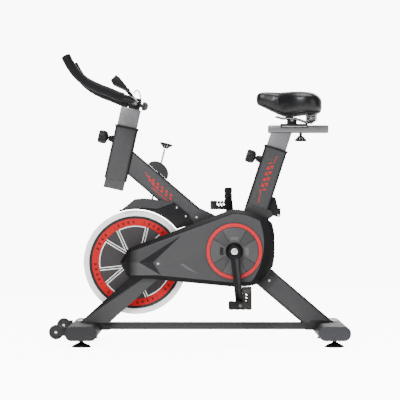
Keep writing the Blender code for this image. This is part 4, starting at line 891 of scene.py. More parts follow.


# ---- crank discs -------------------------------------------------------------------
# A round trim plate on each cover with a raised red ring, eight moulded rays, raised
# finger grips round the hub and a black dust collar. The grips are painted lighter as a
# painted highlight, and those towards the front painted dark as painted shadow.
crank_centre = Vector(((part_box("crank_axle")[0].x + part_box("crank_axle")[1].x) / 2, 0.0,
                       (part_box("crank_axle")[0].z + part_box("crank_axle")[1].z) / 2))
DISC = moulded("disc_plastic", (0.066, 0.066, 0.068), 0.40, Specular_IOR_Level=0.18)
across, radius, bearing = round_about(DISC, crank_centre)
red = radius.between(0.0803, 0.0922)
edge = (radius > 0.0790).maths("SUBTRACT", red)
ray_turn = (bearing * (6.0 / math.pi) + 0.5) % 1.0 - 0.5
ray_line = abs(ray_turn) * (math.pi / 6.0) * radius
quarter = (bearing * (2.0 / math.pi) + 0.5) % 1.0 - 0.5
ray = (ray_line < 0.0007).both(abs(quarter) > 0.2).both(radius.between(0.036, 0.0790))
grip = radius.between(0.0365, 0.0480).both(abs(quarter) < 0.19)
shadow_grip = grip.both(across < -0.030)
ground = DISC.blend(abs(quarter) < 0.333, (0.052, 0.052, 0.054), (0.070, 0.070, 0.072))
# Painted light and shadow: the raised grips are painted lighter, and those towards the front dark.
colour = DISC.blend(grip, ground, (0.110, 0.110, 0.114))
colour = DISC.blend(shadow_grip, colour, (0.014, 0.014, 0.015))
colour = DISC.blend(ray.either(edge), colour, (0.003, 0.003, 0.003))
DISC.feed("Base Color", DISC.blend(red, colour, (0.50, 0.022, 0.028)))
DISC.bump(grip * 1.0 + red * 0.8 - ray * 0.8, 0.0012, 0.5)
for side_name, side in (("left", -1.0), ("right", 1.0)):
    node = "crank_disc_" + side_name
    low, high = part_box(node)
    inner = min(abs(low.y), abs(high.y))
    outer = max(abs(low.y), abs(high.y))
    reach = (high.x - low.x) / 2
    centre = (crank_centre.x, 0.0, crank_centre.z)
    disc = lathe("crank_plate_" + side_name, [
        (0.0245, inner), (reach, inner), (reach, outer - 0.0016), (reach - 0.0006, outer - 0.0006),
        (reach - 0.0018, outer), (0.0808, outer), (0.0800, outer - 0.0012),
        (0.0788, outer - 0.0012), (0.0780, outer - 0.0008), (0.0400, outer - 0.0005),
        (0.0330, outer - 0.0002), (0.0245, outer - 0.0002), (0.0245, inner)],
                 centre, (0, side, 0), 128)
    settled(disc, "frame", DISC, "red_plastic", node)
    collar = lathe("dust_collar_" + side_name, [
        (0.0245, outer - 0.0010), (0.0292, outer - 0.0010), (0.0292, outer + 0.0016),
        (0.0284, outer + 0.0026), (0.0262, outer + 0.0028), (0.0245, outer + 0.0020),
        (0.0245, outer - 0.0010)], centre, (0, side, 0), 64)
    settled(collar, "frame", BLACK_MOULDED, "black_plastic")


# ---- cranks ------------------------------------------------------------------------
# Forged arms painted gloss black, one half of each outer face painted lighter as painted
# light, the lit side of a ridge down the face: a round boss with a bright axle bolt, a
# tapering arm and the pedal's spindle at its end.
CRANK_LENGTH = 0.175
for side_name, side in (("left", -1.0), ("right", 1.0)):
    node = "crank_" + side_name
    pedal_low, pedal_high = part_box("pedal_" + side_name)
    pedal_middle = (pedal_low + pedal_high) / 2
    end = Vector((pedal_middle.x, 0.0, pedal_middle.z))
    aim = (end - crank_centre).normalized()
    beside = Vector((-aim.z, 0.0, aim.x)) * (-side)
    near, far = 0.0790 * side, 0.0930 * side
    ARM = Finish("crank_arm_" + side_name, (0.005, 0.005, 0.006), 0.30,
                 Specular_IOR_Level=0.2)
    ARM.feed("Roughness", ARM.noise(50.0) * 0.14 + 0.24)
    # Painted light: one half of the outer face is painted lighter, the lit side of a ridge.
    lit = ARM.along(crank_centre, beside).between(0.0005, 0.0098)
    lit = lit.both(ARM.along(crank_centre, aim).between(0.024, 0.158))
    outward = abs(ARM.along((0, 0, 0), (0, 1, 0))) > 0.0900
    ARM.feed("Base Color", ARM.blend(lit.both(outward), (0.004, 0.004, 0.005),
                                     (0.030, 0.030, 0.032)))
    taper = ((0.0, 0.0205), (0.10, 0.0190), (0.17, 0.0152), (0.50, 0.0132),
             (0.88, 0.0128), (0.97, 0.0122))        # share of the arm, its half width
    loop = [crank_centre + aim * (CRANK_LENGTH * share) + beside * half
            for share, half in taper]
    for turn in (60, 30, 0, -30, -60):
        angle = math.radians(turn)
        loop.append(end + aim * (0.0125 * math.cos(angle)) + beside * (0.0125 * math.sin(angle)))
    loop += [crank_centre + aim * (CRANK_LENGTH * share) - beside * half
             for share, half in reversed(taper)]
    arm = prism("crank_arm_" + side_name, [(p.x, p.z) for p in loop], near, far)
    rounded(arm, 0.0022, 4, 40.0)
    boss = lathe("boss", [(0.0098, 0.0772), (0.0225, 0.0772), (0.0228, 0.0925),
                          (0.0216, 0.0945), (0.0170, 0.0952), (0.0150, 0.0948),
                          (0.0140, 0.0932), (0.0098, 0.0932), (0.0098, 0.0772)],
                 crank_centre, (0, side, 0), 64)
    tip = lathe("tip", [(0.0, 0.0800), (0.0120, 0.0800), (0.0120, 0.0938), (0.0105, 0.0948),
                        (0.0, 0.0948)], end, (0, side, 0), 48)
    arm = joined("crank_arm_" + side_name, [arm, boss, tip])
    settled(arm, "crank_set", ARM, "crank_black", node)
    bolt = lathe("axle_bolt_" + side_name, [
        (0.0, 0.0915), (0.0130, 0.0915), (0.0130, 0.0930), (0.0092, 0.0934),
        (0.0090, 0.0962), (0.0078, 0.0970), (0.0046, 0.0970), (0.0040, 0.0958),
        (0.0, 0.0958)], crank_centre, (0, side, 0), 40)
    BOLT = Finish("axle_bolt_" + side_name, (0.80, 0.80, 0.80), 0.22, Metallic=0.6)
    BOLT.feed("Roughness", BOLT.noise(200.0) * 0.1 + 0.2)
    settled(bolt, "crank_set", BOLT, "chrome")
    spindle = lathe("pedal_spindle_" + side_name, [
        (0.0, 0.0940), (0.0098, 0.0940), (0.0098, 0.0985), (0.0078, 0.0992),
        (0.0078, 0.1020), (0.0060, 0.1025), (0.0060, 0.1905), (0.0, 0.1905)],
                    end, (0, side, 0), 32)
    settled(spindle, "crank_set", DARK_STEEL, "dark_steel")


# ---- pedals and toe straps ---------------------------------------------------------
# Moulded resin cages with scalloped grip edges and open windows, each with a slotted
# rubber strap that arches over the shoe.
RESIN = moulded("pedal_resin", (0.008, 0.008, 0.008), 0.42, Specular_IOR_Level=0.18)
STRAP = moulded("strap_rubber", (0.020, 0.018, 0.016), 0.50, Specular_IOR_Level=0.18)
for side_name, side, turn in (("left", -1.0, 0.0), ("right", 1.0, -90.0)):
    node = "pedal_" + side_name
    low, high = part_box(node)
    middle = (low + high) / 2
    half_y = (high.y - low.y) / 2
    half_x, half_z = 0.0372, 0.0128
    steps = 64
    scallops = [(2 * half_x * (step / steps - 0.5),
                 0.0022 * abs(math.sin(4.0 * math.pi * step / steps)) ** 0.7)
                for step in range(steps + 1)]
    outline = [(x, -half_z + 0.0022 - wave) for x, wave in scallops]
    outline += [(half_x, -0.004), (half_x, 0.004)]
    outline += [(x, half_z - 0.0022 + wave) for x, wave in reversed(scallops)]
    outline += [(-half_x, 0.004), (-half_x, -0.004)]
    cage = prism("pedal_cage_" + side_name, outline, -half_y, half_y)
    for x in (-0.0210, 0.0210):
        for y in (-0.0215, 0.0215):
            window = block((0.0200, 0.0330, 0.06))
            window.data.transform(Matrix.Translation((x, y, 0.0)))
            carved(cage, window)
    everything_deselected()
    bpy.ops.mesh.primitive_cylinder_add(vertices=40, radius=0.0066, depth=0.2,
                                        rotation=(math.pi / 2, 0, 0))
    carved(cage, bpy.context.object)
    rounded(cage, 0.0007, 2, 50.0)
    cage.data.transform(Matrix.Rotation(math.radians(turn), 4, "Y"))
    cage.data.transform(Matrix.Translation(middle))
    settled(cage, "pedal_set_" + side_name, RESIN, "black_plastic", node)
    strap = piece_copy("toe_strap_" + side_name, "toe_band_" + side_name)
    place = Matrix.Translation(middle) @ Matrix.Rotation(math.radians(turn), 4, "Y")
    start = -side * 0.0072
    for row in range(3):
        rise = 0.0100 + row * 0.0104
        loop = [(start - side * 0.0064, rise + 0.0086), (start - side * 0.0118, rise + 0.0086),
                (start - side * 0.0206, rise), (start - side * 0.0150, rise)]
        slot = prism("slot", loop, -0.2, 0.2)
        slot.data.transform(place)
        carved(strap, slot)
        near = start - side * 0.0004
        far = start - side * 0.0044
        hole = prism("hole", [(near, rise + 0.0038), (far, rise + 0.0038),
                              (far, rise + 0.0078), (near, rise + 0.0078)], -0.2, 0.2)
        hole.data.transform(place)
        carved(strap, hole)
    rounded(strap, 0.0005, 2, 50.0)
    settled(strap, "pedal_set_" + side_name, STRAP, "black_plastic",
            "toe_strap_" + side_name)


# ---- handlebar post and clamp ------------------------------------------------------
# A silver-grey square post with a row of pin holes down its front, painted as dark discs
# of shade, its corners and its bottom end painted darker as painted shade, and a cast
# clamp on its top that grips the bar, closed by a dome-headed knob.
def post_paint(name, node, way, hole_face, fade):
    """Silver-grey paint with painted shade: darker corners, darker towards the post's bottom end,
    and a row of pin holes painted as dark discs on one face.
    """
    made = powder_coat(name, (0.16, 0.16, 0.17), 0.36, Metallic=0.3)
    up = Vector((-way.z, 0.0, way.x))
    points = [v.co for v in frame["nodes"][node].data.vertices]
    middle = sum(points, Vector()) / len(points)
    half = max(abs((p - middle).dot(up)) for p in points)
    aside = made.along(middle, up)
    run = made.along(middle, way)
    sideways = made.along(middle, (0.0, 1.0, 0.0))
    # Painted shade darkening the post's corners.
    corner_shade = made.node("Clamp", [(abs(aside) - half * 0.82) / (half * 0.18), 0.0, 1.0])
    # Pin holes painted as dark discs, the shade inside the holes.
    step = (run / 0.022) % 1.0 - 0.5
    hole = (step * step * (0.022 ** 2) + sideways * sideways) < (0.0044 ** 2)
    if hole_face > 0:
        hole = hole.both(aside > half * 0.97)
    else:
        hole = hole.both(aside < -half * 0.97)
    # Painted shade: the post grows darker towards its bottom end.
    shade = made.node("Clamp", [run / 0.20 + fade, 0.0, 1.0])
    body = made.blend(shade, (0.19, 0.19, 0.20), (0.050, 0.050, 0.052))
    colour = made.blend(corner_shade * corner_shade, body, (0.020, 0.020, 0.021))
    made.feed("Base Color", made.blend(hole, colour, (0.010, 0.010, 0.010)))
    return made


def tip_of(node, axis):
    """The point on a turned CAD node's axis at its far end."""
    axis = Vector(axis).normalized()
    first = axis.orthogonal().normalized()
    second = axis.cross(first)
    points = [v.co for v in frame["nodes"][node].data.vertices]
    spot = axis * max(p.dot(axis) for p in points)
    for way in (first, second):
        reach = [p.dot(way) for p in points]
        spot = spot + way * (min(reach) + max(reach)) / 2
    return spot


HEAD_POST = post_paint("head_post_paint", "handlebar_post", head_way, 1, 0.45)
SEAT_POST = post_paint("seat_post_paint", "seat_post", seat_way, -1, 0.35)
post = piece_copy("handlebar_post", "head_post")
rounded(post, 0.0042, 3, 50.0)
settled(post, "handlebar_set", HEAD_POST, "silver_paint", "handlebar_post")
CAST = powder_coat("cast_black", (0.010, 0.010, 0.011), 0.42, Specular_IOR_Level=0.2)
clamp = piece_copy("bar_clamp", "stem_clamp")
rounded(clamp, 0.0020, 3, 30.0)
settled(clamp, "handlebar_set", CAST, "black_plastic", "bar_clamp")
DOME = moulded("dome_plastic", (0.040, 0.040, 0.042), 0.34, Specular_IOR_Level=0.2)
clamp_axis = Vector(joint_of["clamp_knob_turn"]["axis"])
tip = tip_of("clamp_knob", clamp_axis)
band = DOME.along(tip - clamp_axis * 0.0135, clamp_axis)
DOME.feed("Base Color", DOME.blend(abs(band) < 0.0022, (0.050, 0.050, 0.052),
                                   (0.012, 0.012, 0.013)))
dome = lathe("clamp_dome", [
    (0.0, 0.0), (0.0040, -0.0003), (0.0080, -0.0014), (0.0112, -0.0036), (0.0134, -0.0068),
    (0.0146, -0.0110), (0.0149, -0.0150), (0.0143, -0.0180), (0.0125, -0.0200),
    (0.0066, -0.0202), (0.0060, -0.0205), (0.0060, -0.0260), (0.0, -0.0260)],
             tip, clamp_axis, 56)
settled(dome, "clamp_knob", DOME, "black_plastic", "clamp_knob")


# ---- handlebar and grips -----------------------------------------------------------
# A bent steel bar with bull horns, powder-coated black, its horns in dense foam sleeves
# that end in small plastic plugs.
def swept(name, points, radius, sides=8, smooth=True, resolution=8):
    """A round bar through points, drawn as a curve and turned into a mesh."""
    curve = bpy.data.curves.new(name, "CURVE")
    curve.dimensions = "3D"
    curve.bevel_depth = radius
    curve.bevel_resolution = sides
    curve.resolution_u = resolution
    curve.use_fill_caps = True
    line = curve.splines.new("BEZIER" if smooth else "POLY")
    spots = line.bezier_points if smooth else line.points
    spots.add(len(points) - 1)
    for spot, point in zip(spots, points):
        spot.co = point if smooth else (*point, 1.0)
        if smooth:
            spot.handle_left_type = "AUTO"
            spot.handle_right_type = "AUTO"
    made = bpy.data.objects.new(name, curve)
    bpy.context.scene.collection.objects.link(made)
    everything_deselected()
    bpy.context.view_layer.objects.active = made
    made.select_set(True)
    bpy.ops.object.convert(target="MESH")
    made = bpy.context.object
    bpy.ops.object.mode_set(mode="EDIT")
    return finished(made, WELD)


BAR_PAINT = powder_coat("bar_paint", (0.006, 0.006, 0.007), 0.34, Specular_IOR_Level=0.2)
FOAM = Finish("grip_foam", (0.004, 0.004, 0.005), 0.50, Specular_IOR_Level=0.15)
foam_cells = FOAM.noise(2600.0, 2.0)
FOAM.feed("Roughness", FOAM.noise(90.0) * 0.08 + 0.50)
FOAM.bump(foam_cells, 0.0002, 0.5)
horn = [(-0.2165, 0.0, 0.7970), (-0.2165, 0.080, 0.7970), (-0.2165, 0.155, 0.7970),
        (-0.2205, 0.180, 0.7980), (-0.2365, 0.197, 0.8040), (-0.258, 0.200, 0.8090),
        (-0.291, 0.200, 0.8225), (-0.340, 0.200, 0.8420), (-0.375, 0.200, 0.8620),
        (-0.401, 0.200, 0.8860), (-0.421, 0.200, 0.9150), (-0.4352, 0.200, 0.9425)]
whole = [(x, -y, z) for x, y, z in reversed(horn)] + horn[1:]
bar = swept("bent_bar", whole, 0.0110)
settled(bar, "handlebar_set", BAR_PAINT, "frame_paint", "handlebar", smooth=50.0)
for side_name, side in (("left", -1.0), ("right", 1.0)):
    sleeve_line = [(x, side * y, z) for x, y, z in horn[5:-1]]
    sleeve_line = [(-0.2470, side * 0.1990, 0.8062)] + sleeve_line
    sleeve_line.append((-0.4340, side * 0.200, 0.9400))
    sleeve = swept("foam_grip_" + side_name, sleeve_line, 0.0153, 10)
    rounded(sleeve, 0.0022, 3, 60.0)
    settled(sleeve, "handlebar_set", FOAM, "grip_foam", "grip_" + side_name, smooth=60.0)
    end = Vector((-0.4340, side * 0.200, 0.9400))
    way = (end - Vector((-0.421, side * 0.200, 0.9150))).normalized()
    plug = lathe("grip_plug_" + side_name, [
        (0.0, -0.004), (0.0100, -0.004), (0.0100, 0.0), (0.0128, 0.0), (0.0132, 0.0010),
        (0.0120, 0.0026), (0.0060, 0.0036), (0.0, 0.0038)], end, way, 40)
    settled(plug, "handlebar_set", BLACK_MOULDED, "black_plastic")


# ---- console -----------------------------------------------------------------------
# A small wedge-shaped display on a stalk: black housing, a bezel round a smoky window
# with faint bars, a red button and a held lead down to the clamp.
HOUSE = moulded("console_plastic", (0.010, 0.010, 0.011), 0.38, Specular_IOR_Level=0.18)
console = piece_copy("console", "console_housing")
rounded(console, 0.0012, 3, 30.0)
settled(console, "handlebar_set", HOUSE, "black_plastic", "console")
screen_out = Vector(joint_of["console_button_press"]["axis"]) * -1.0
screen_down = Vector((screen_out.z, 0.0, -screen_out.x))
low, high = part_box("console")
screen_top = Vector((-0.2765, 0.0, high.z))
GLASS = Finish("console_window", (0.030, 0.036, 0.034), 0.08)
down = GLASS.along(screen_top, screen_down)
wide = GLASS.along(screen_top, (0.0, 1.0, 0.0))
rows = (down.between(0.0165, 0.0180)).either(down.between(0.0300, 0.0310))
ticks = ((wide / 0.0062) % 1.0).between(0.0, 0.5).both(down.between(0.0215, 0.0270))
lcd = down.between(0.0130, 0.0420).both(abs(wide) < 0.034)
marks = rows.either(ticks).both(abs(wide) < 0.028)
face = GLASS.blend(lcd, (0.010, 0.011, 0.012), (0.17, 0.20, 0.165))
GLASS.feed("Base Color", GLASS.blend(marks, face, (0.020, 0.025, 0.020)))


def sloped_plate(name, top, bottom, half, lift, thick, width):
    """A rounded plate lying on the console's slope."""
    made = block((bottom - top, 2 * half, thick))
    made.name = name
    turn = Matrix((screen_down, Vector((0.0, 1.0, 0.0)), screen_out)).transposed().to_4x4()
    made.data.transform(turn)
    middle = screen_top + screen_down * (top + bottom) / 2 + screen_out * (lift + thick / 2)
    made.data.transform(Matrix.Translation(middle))
    return rounded(made, width, 4, 40.0)


bezel = sloped_plate("console_bezel", 0.0065, 0.0500, 0.0440, -0.0005, 0.0020, 0.0009)
window = sloped_plate("console_window", 0.0100, 0.0465, 0.0390, 0.0004, 0.0018, 0.0006)
settled(bezel, "handlebar_set", BLACK_MOULDED, "black_plastic")
settled(window, "handlebar_set", GLASS, "black_plastic")
tip = tip_of("console_button", screen_out)
BUTTON = moulded("button_red", (0.62, 0.035, 0.035), 0.35)
button = lathe("display_button", [
    (0.0, 0.0), (0.0030, -0.0001), (0.0050, -0.0006), (0.0058, -0.0014), (0.0059, -0.0024),
    (0.0059, -0.0050), (0.0, -0.0050)], tip, screen_out, 40)
settled(button, "console_button", BUTTON, "red_plastic", "console_button")
CABLE = Finish("cable_sheath", (0.030, 0.030, 0.031), 0.45)
CABLE.feed("Roughness", CABLE.noise(120.0) * 0.15 + 0.38)
lead = swept("console_lead", [
    (-0.2210, 0.0300, 0.8300), (-0.2130, 0.0310, 0.8420), (-0.2040, 0.0310, 0.8370),
    (-0.1990, 0.0300, 0.8180), (-0.1975, 0.0290, 0.7990), (-0.2020, 0.0262, 0.7870),
    (-0.2085, 0.0222, 0.7845)], 0.0020, 4)
settled(lead, "handlebar_set", CABLE, "rubber", "console_cable", smooth=60.0)


# ---- pop-pin knobs -----------------------------------------------------------------
# Lobed black knobs on sprung steel pins that lock the posts in their sleeves, each
# with its turned steel shank showing behind it.
def lobed(piece, spot, axis, count, depth, start):
    """Presses a number of finger hollows into a turned knob's outer edge."""
    axis = Vector(axis).normalized()
    first = axis.orthogonal().normalized()
    second = axis.cross(first)
    for vertex in piece.data.vertices:
        away = vertex.co - spot
        height = away.dot(axis)
        flat = away - axis * height
        if flat.length > start:
            turn = math.atan2(flat.dot(second), flat.dot(first))
            wave = 0.5 - 0.5 * math.cos(count * turn)
            share = min(1.0, (flat.length - start) / 0.006)
            vertex.co = vertex.co - flat.normalized() * (depth * wave * share)
    return piece


for end in ("head", "seat"):
    node = end + "_pin_knob"
    axis = Vector(joint_of[end + "_pin_pull"]["axis"])
    tip = tip_of(node, axis)
    knob = lathe(end + "_pop_knob", [
        (0.0, -0.0014), (0.0130, -0.0010), (0.0172, 0.0), (0.0204, -0.0016),
        (0.0221, -0.0052), (0.0225, -0.0110), (0.0225, -0.0190), (0.0214, -0.0245),
        (0.0184, -0.0285), (0.0130, -0.0310), (0.0080, -0.0325), (0.0056, -0.0330),
        (0.0, -0.0330)], tip, axis, 96)
    lobed(knob, tip, axis, 7, 0.0030, 0.0125)
    settled(knob, node, BLACK_MOULDED, "black_plastic", node)
    shank = lathe(end + "_pop_shank", [
        (0.0, -0.0320), (0.0054, -0.0320), (0.0054, -0.0334), (0.0037, -0.0336),
        (0.0037, -0.0535), (0.0, -0.0535)], tip, axis, 32)
    settled(shank, node, DARK_STEEL, "dark_steel")


# ---- seat post and slider ----------------------------------------------------------
# The silver-grey seat post carries a level square tube; a funnel knob under it clamps
# the saddle's carriage, and the tube's ends are closed by plastic plugs.
post = piece_copy("seat_post", "seat_mast")
rounded(post, 0.0042, 3, 50.0)
settled(post, "seat_post_set", SEAT_POST, "silver_paint", "seat_post")
SLIDER = powder_coat("slider_paint", (0.155, 0.155, 0.160), 0.34, Metallic=0.3)
slider = piece_copy("seat_slider", "level_tube")
settled(slider, "seat_post_set", SLIDER, "silver_paint", "seat_slider", smooth=40.0)
low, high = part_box("seat_slider")
for end, face, out in (("front", low.x, -1.0), ("rear", high.x, 1.0)):
    plug = block((0.0100, 0.0316, 0.0176))
    plug.name = "level_tube_plug_" + end
    plug.data.transform(Matrix.Translation((face - out * 0.0052, 0.0,
                                            (low.z + high.z) / 2)))
    rounded(plug, 0.0010, 3, 40.0)
    settled(plug, "seat_post_set", BLACK_MOULDED, "black_plastic")
slider_axis = Vector((0.0, 0.0, 1.0))
tip = tip_of("slider_knob", slider_axis)
SLIDE_KNOB = Finish("slider_knob_plastic", (0.008, 0.008, 0.009), 0.38,
                    Specular_IOR_Level=0.18)
knob_ahead = SLIDE_KNOB.along(tip, (1.0, 0.0, 0.0))
knob_aside = SLIDE_KNOB.along(tip, (0.0, 1.0, 0.0))
knob_height = SLIDE_KNOB.along(tip, (0.0, 0.0, 1.0))
turn = SLIDE_KNOB.node("Math", [knob_ahead, knob_aside], operation="ARCTAN2")
tick = ((turn * (6.0 / math.pi)) % 1.0).between(0.40, 0.60)
tick = tick.both(knob_height.between(-0.0215, -0.0135))
SLIDE_KNOB.feed("Base Color", SLIDE_KNOB.blend(tick, (0.008, 0.008, 0.009),
                                               (0.55, 0.55, 0.56)))
funnel = lathe("slider_funnel", [
    (0.0, -0.0002), (0.0050, -0.0002), (0.0050, -0.0090), (0.0090, -0.0100),
    (0.0110, -0.0128), (0.0150, -0.0172), (0.0186, -0.0208), (0.0198, -0.0224),
    (0.0200, -0.0244), (0.0190, -0.0266), (0.0160, -0.0275), (0.0, -0.0276)],
               tip, slider_axis, 60)
settled(funnel, "slider_knob", SLIDE_KNOB, "black_plastic", "slider_knob")


# ---- saddle carriage, rails and springs --------------------------------------------
# A folded steel channel rides on the tube and carries the rail clamp; a bent chromed
# wire runs back from it to two short coil springs under the saddle's rear.
BRIGHT = Finish("bright_strip", (0.60, 0.60, 0.62), 0.28, Metallic=0.8)
BRIGHT.feed("Roughness", BRIGHT.noise(120.0, 3.0, (0.1, 1.0, 1.0)) * 0.2 + 0.22)
carriage = piece_copy("saddle_carriage", "rail_carriage")
rounded(carriage, 0.0010, 3, 40.0)
settled(carriage, "saddle_set", BLACK_MOULDED, "black_plastic", "saddle_carriage")
low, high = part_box("saddle_carriage")
for side_name, side in (("left", -1.0), ("right", 1.0)):
    strip = prism("carriage_strip_" + side_name,
                  [(low.x + 0.004, low.z + 0.0022), (high.x - 0.004, low.z + 0.0022),
                   (high.x - 0.004, low.z + 0.0052), (low.x + 0.004, low.z + 0.0052)],
                  side * (high.y - 0.0004), side * (high.y + 0.0004))
    settled(strip, "saddle_set", BRIGHT, "chrome")
    nut = lathe("rail_clamp_nut_" + side_name, [
        (0.0, 0.0), (0.0062, 0.0), (0.0066, 0.0006), (0.0066, 0.0044), (0.0060, 0.0052),
        (0.0034, 0.0052), (0.0034, 0.0080), (0.0, 0.0084)],
                (0.306, side * 0.0168, 0.7405), (0, side, 0), 6)
    settled(nut, "saddle_set", CHROME, "chrome", smooth=20.0)
WIRE = Finish("rail_wire", (0.22, 0.22, 0.23), 0.22, Metallic=1.0)
WIRE.feed("Roughness", WIRE.noise(60.0) * 0.1 + 0.18)
half_run = [(0.375, 0.048, 0.7330), (0.365, 0.036, 0.7330), (0.3575, 0.024, 0.7330),
            (0.330, 0.022, 0.7420), (0.300, 0.022, 0.7475), (0.278, 0.021, 0.7465),
            (0.262, 0.016, 0.7500), (0.255, 0.008, 0.7515)]
rails = swept("bent_rails", half_run + [(x, -y, z) for x, y, z in reversed(half_run)],
              0.0035, 5)
settled(rails, "saddle_set", WIRE, "chrome", "saddle_rails", smooth=60.0)
for side_name, side in (("left", -1.0), ("right", 1.0)):
    low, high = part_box("saddle_spring_" + side_name)
    middle = (low + high) / 2
    foot = low.z + 0.0022
    top = high.z - 0.0022
    coil = []
    for step in range(145):
        share = step / 144
        angle = 2 * math.pi * 3.5 * share
        coil.append((middle.x + 0.0150 * math.cos(angle),
                     middle.y + 0.0150 * math.sin(angle), foot + (top - foot) * share))
    spring = swept("coil_spring_" + side_name, coil, 0.0022, 4, smooth=False)
    settled(spring, "saddle_set", WIRE, "chrome", "saddle_spring_" + side_name, smooth=60.0)


# ---- saddle ------------------------------------------------------------------------
# A foam pad in one piece of glossy black vinyl, puffed by its stuffing and stitched
# round its edge to a moulded pan; a welt covers the seam.
low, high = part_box("saddle")
saddle_length = high.x - low.x
PROFILE = [                # share of length, share of half width, bottom and top
    (0.00, 0.19, 0.0420, 0.0745), (0.05, 0.27, 0.0380, 0.0815), (0.13, 0.31, 0.0305, 0.0835),
    (0.22, 0.34, 0.0205, 0.0828), (0.32, 0.40, 0.0110, 0.0805), (0.42, 0.58, 0.0020, 0.0808),
    (0.50, 0.76, 0.0000, 0.0824), (0.60, 0.91, 0.0020, 0.0832), (0.74, 1.00, 0.0065, 0.0828),
    (0.85, 0.96, 0.0085, 0.0800), (0.93, 0.84, 0.0095, 0.0735), (1.00, 0.50, 0.0150, 0.0590),
]


def saddle_x(share):
    """Where a share of the saddle's length lies, inside its two ends."""
    return low.x + 0.002 + (saddle_length - 0.004) * share


def saddle_shape(share):
    """Half width, bottom and top of the pad, eased between the profile's stations."""
    share = min(1.0, max(0.0, share))
    count = len(PROFILE)
    index = max(i for i in range(count - 1) if PROFILE[i][0] <= share or i == 0)
    four = [PROFILE[min(count - 1, max(0, index + shift))] for shift in (-1, 0, 1, 2)]
    span = four[2][0] - four[1][0]
    part = (share - four[1][0]) / span
    found = []
    for value in (1, 2, 3):
        before, start, end, after = [station[value] for station in four]
        into = (end - before) * span / max(1e-6, four[2][0] - four[0][0])
        out = (after - start) * span / max(1e-6, four[3][0] - four[1][0])
        found.append((2 * part ** 3 - 3 * part ** 2 + 1) * start
                     + (part ** 3 - 2 * part ** 2 + part) * into
                     + (3 * part ** 2 - 2 * part ** 3) * end
                     + (part ** 3 - part ** 2) * out)
    half_width = (high.y - low.y) / 2 - 0.0006
    return half_width * found[0], low.z + found[1] + 0.0004, low.z + found[2] - 0.0004


around = 40
stations = [0.0, 0.012, 0.03, 0.06, 0.10, 0.16, 0.22, 0.28, 0.34, 0.40, 0.46, 0.52, 0.58,
            0.64, 0.70, 0.76, 0.82, 0.87, 0.91, 0.945, 0.97, 0.988, 1.0]
points = []
for share in stations:
    half, bottom, top = saddle_shape(share)
    near_end = min(1.0, min(share, 1.0 - share) / 0.035)
    close = 0.70 + 0.30 * math.sqrt(1.0 - (1.0 - near_end) ** 2)
    for index in range(around):
        angle = 2 * math.pi * index / around
        y = half * close * math.copysign(abs(math.cos(angle)) ** 0.52, math.cos(angle))
        rise = (top - bottom) / 2 * close
        z = (top + bottom) / 2 + rise * math.copysign(abs(math.sin(angle)) ** 0.58,
                                                      math.sin(angle))
        channel = 0.0020 * math.exp(-(y / 0.014) ** 2) * max(0.0, math.sin(math.pi * share))
        if math.sin(angle) > 0.3:
            z -= channel
        points.append((saddle_x(share), y, z))
faces = []
for ring in range(len(stations) - 1):
    for index in range(around):
        after = (index + 1) % around
        faces.append((ring * around + index, ring * around + after,
                      (ring + 1) * around + after, (ring + 1) * around + index))
faces.append(tuple(range(around)))
faces.append(tuple(reversed(range((len(stations) - 1) * around, len(stations) * around))))
pad = finished(started("saddle_pad", points, [], faces))
modified(pad, "REMESH", mode="VOXEL", voxel_size=0.0045)
modified(pad, "SMOOTH", factor=0.5, iterations=8)
held = pad.vertex_groups.new(name="held")
still = []
for vertex in pad.data.vertices:
    half, bottom, top = saddle_shape((vertex.co.x - low.x) / saddle_length)
    if vertex.co.z < bottom + (top - bottom) * 0.34:
        still.append(vertex.index)
held.add(still, 1.0, "REPLACE")
cloth = pad.modifiers.new("cloth", "CLOTH")
cloth.settings.quality = 6
cloth.settings.mass = 0.25
cloth.settings.tension_stiffness = 18.0
cloth.settings.compression_stiffness = 18.0
cloth.settings.shear_stiffness = 6.0
cloth.settings.bending_stiffness = 0.8
cloth.settings.use_pressure = True
cloth.settings.uniform_pressure_force = 4.0
cloth.settings.effector_weights.gravity = 0.0
cloth.settings.vertex_group_mass = "held"
cloth.collision_settings.use_collision = False
rest = [vertex.co.copy() for vertex in pad.data.vertices]
for moment in range(1, 21):
    bpy.context.scene.frame_set(moment)
solved = pad.evaluated_get(bpy.context.evaluated_depsgraph_get()).to_mesh()
moved = [vertex.co.copy() for vertex in solved.vertices]
pad.modifiers.remove(cloth)
bpy.context.scene.frame_set(1)
for vertex, start, end in zip(pad.data.vertices, rest, moved):
    push = end - start
    vertex.co = start + push * min(1.0, 0.0035 / max(push.length, 1e-9))
modified(pad, "SUBSURF", levels=1, render_levels=1)
VINYL = Finish("saddle_vinyl", (0.003, 0.003, 0.004), 0.34, Specular_IOR_Level=0.4)
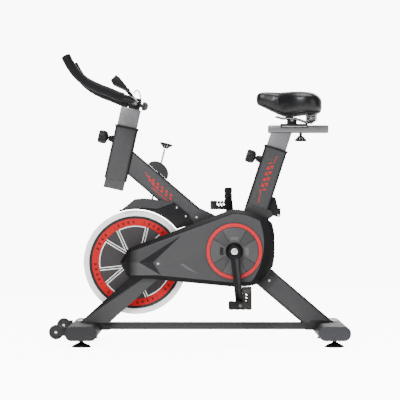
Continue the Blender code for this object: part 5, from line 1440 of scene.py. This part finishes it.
leather = VINYL.node("TexVoronoi", {"Vector": VINYL.spot(), "Scale": 520.0})
VINYL.feed("Roughness", VINYL.noise(30.0) * 0.04 + 0.32)
VINYL.bump(leather, 0.00002, 0.2)
settled(pad, "saddle_set", VINYL, "saddle_vinyl", "saddle", smooth=70.0)

pan = pad.copy()
pan.data = pad.data.copy()
pan.name = "saddle_pan"
bpy.context.scene.collection.objects.link(pan)
welt_share = 0.10
drop = bmesh.new()
drop.from_mesh(pan.data)
gone = []
for vertex in drop.verts:
    half, bottom, top = saddle_shape((vertex.co.x - low.x) / saddle_length)
    if vertex.co.z > bottom + (top - bottom) * welt_share:
        gone.append(vertex)
bmesh.ops.delete(drop, geom=gone, context="VERTS")
drop.to_mesh(pan.data)
drop.free()
modified(pan, "SOLIDIFY", thickness=0.0016, offset=1.0)
settled(pan, "saddle_set", BLACK_MOULDED, "black_plastic", smooth=60.0)

welt = []
for side in (1.0, -1.0):
    run = [step / 46 for step in range(1, 46)]
    for share in (run if side > 0 else reversed(run)):
        half, bottom, top = saddle_shape(share)
        start = Vector((saddle_x(share), side * half * 0.90, bottom + (top - bottom) * 0.11))
        spot, normal = pad.closest_point_on_mesh(start)[1:3]
        welt.append(tuple(spot + normal * 0.0004))
welt.append(welt[0])
seam = swept("saddle_welt", welt, 0.0013, 3, smooth=False)
settled(seam, "saddle_set", VINYL, "saddle_vinyl", smooth=70.0)


# ---- holder on the seat tube -------------------------------------------------------
# A hooked plastic accessory holder screwed to the back of the seat tube, with a bright
# metal band across its lip.
hook = piece_copy("accessory_bracket", "accessory_hook")
rounded(hook, 0.0016, 3, 30.0)
settled(hook, "frame", BLACK_MOULDED, "black_plastic", "accessory_bracket")
low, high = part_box("accessory_bracket")
lip = prism("hook_band", oblong(high.x - 0.0060, low.z + 0.0060, 0.0100, 0.0065, 0.0020, 4),
            low.y - 0.0006, high.y + 0.0006)
rounded(lip, 0.0008, 2, 40.0)
settled(lip, "frame", BRIGHT, "chrome")
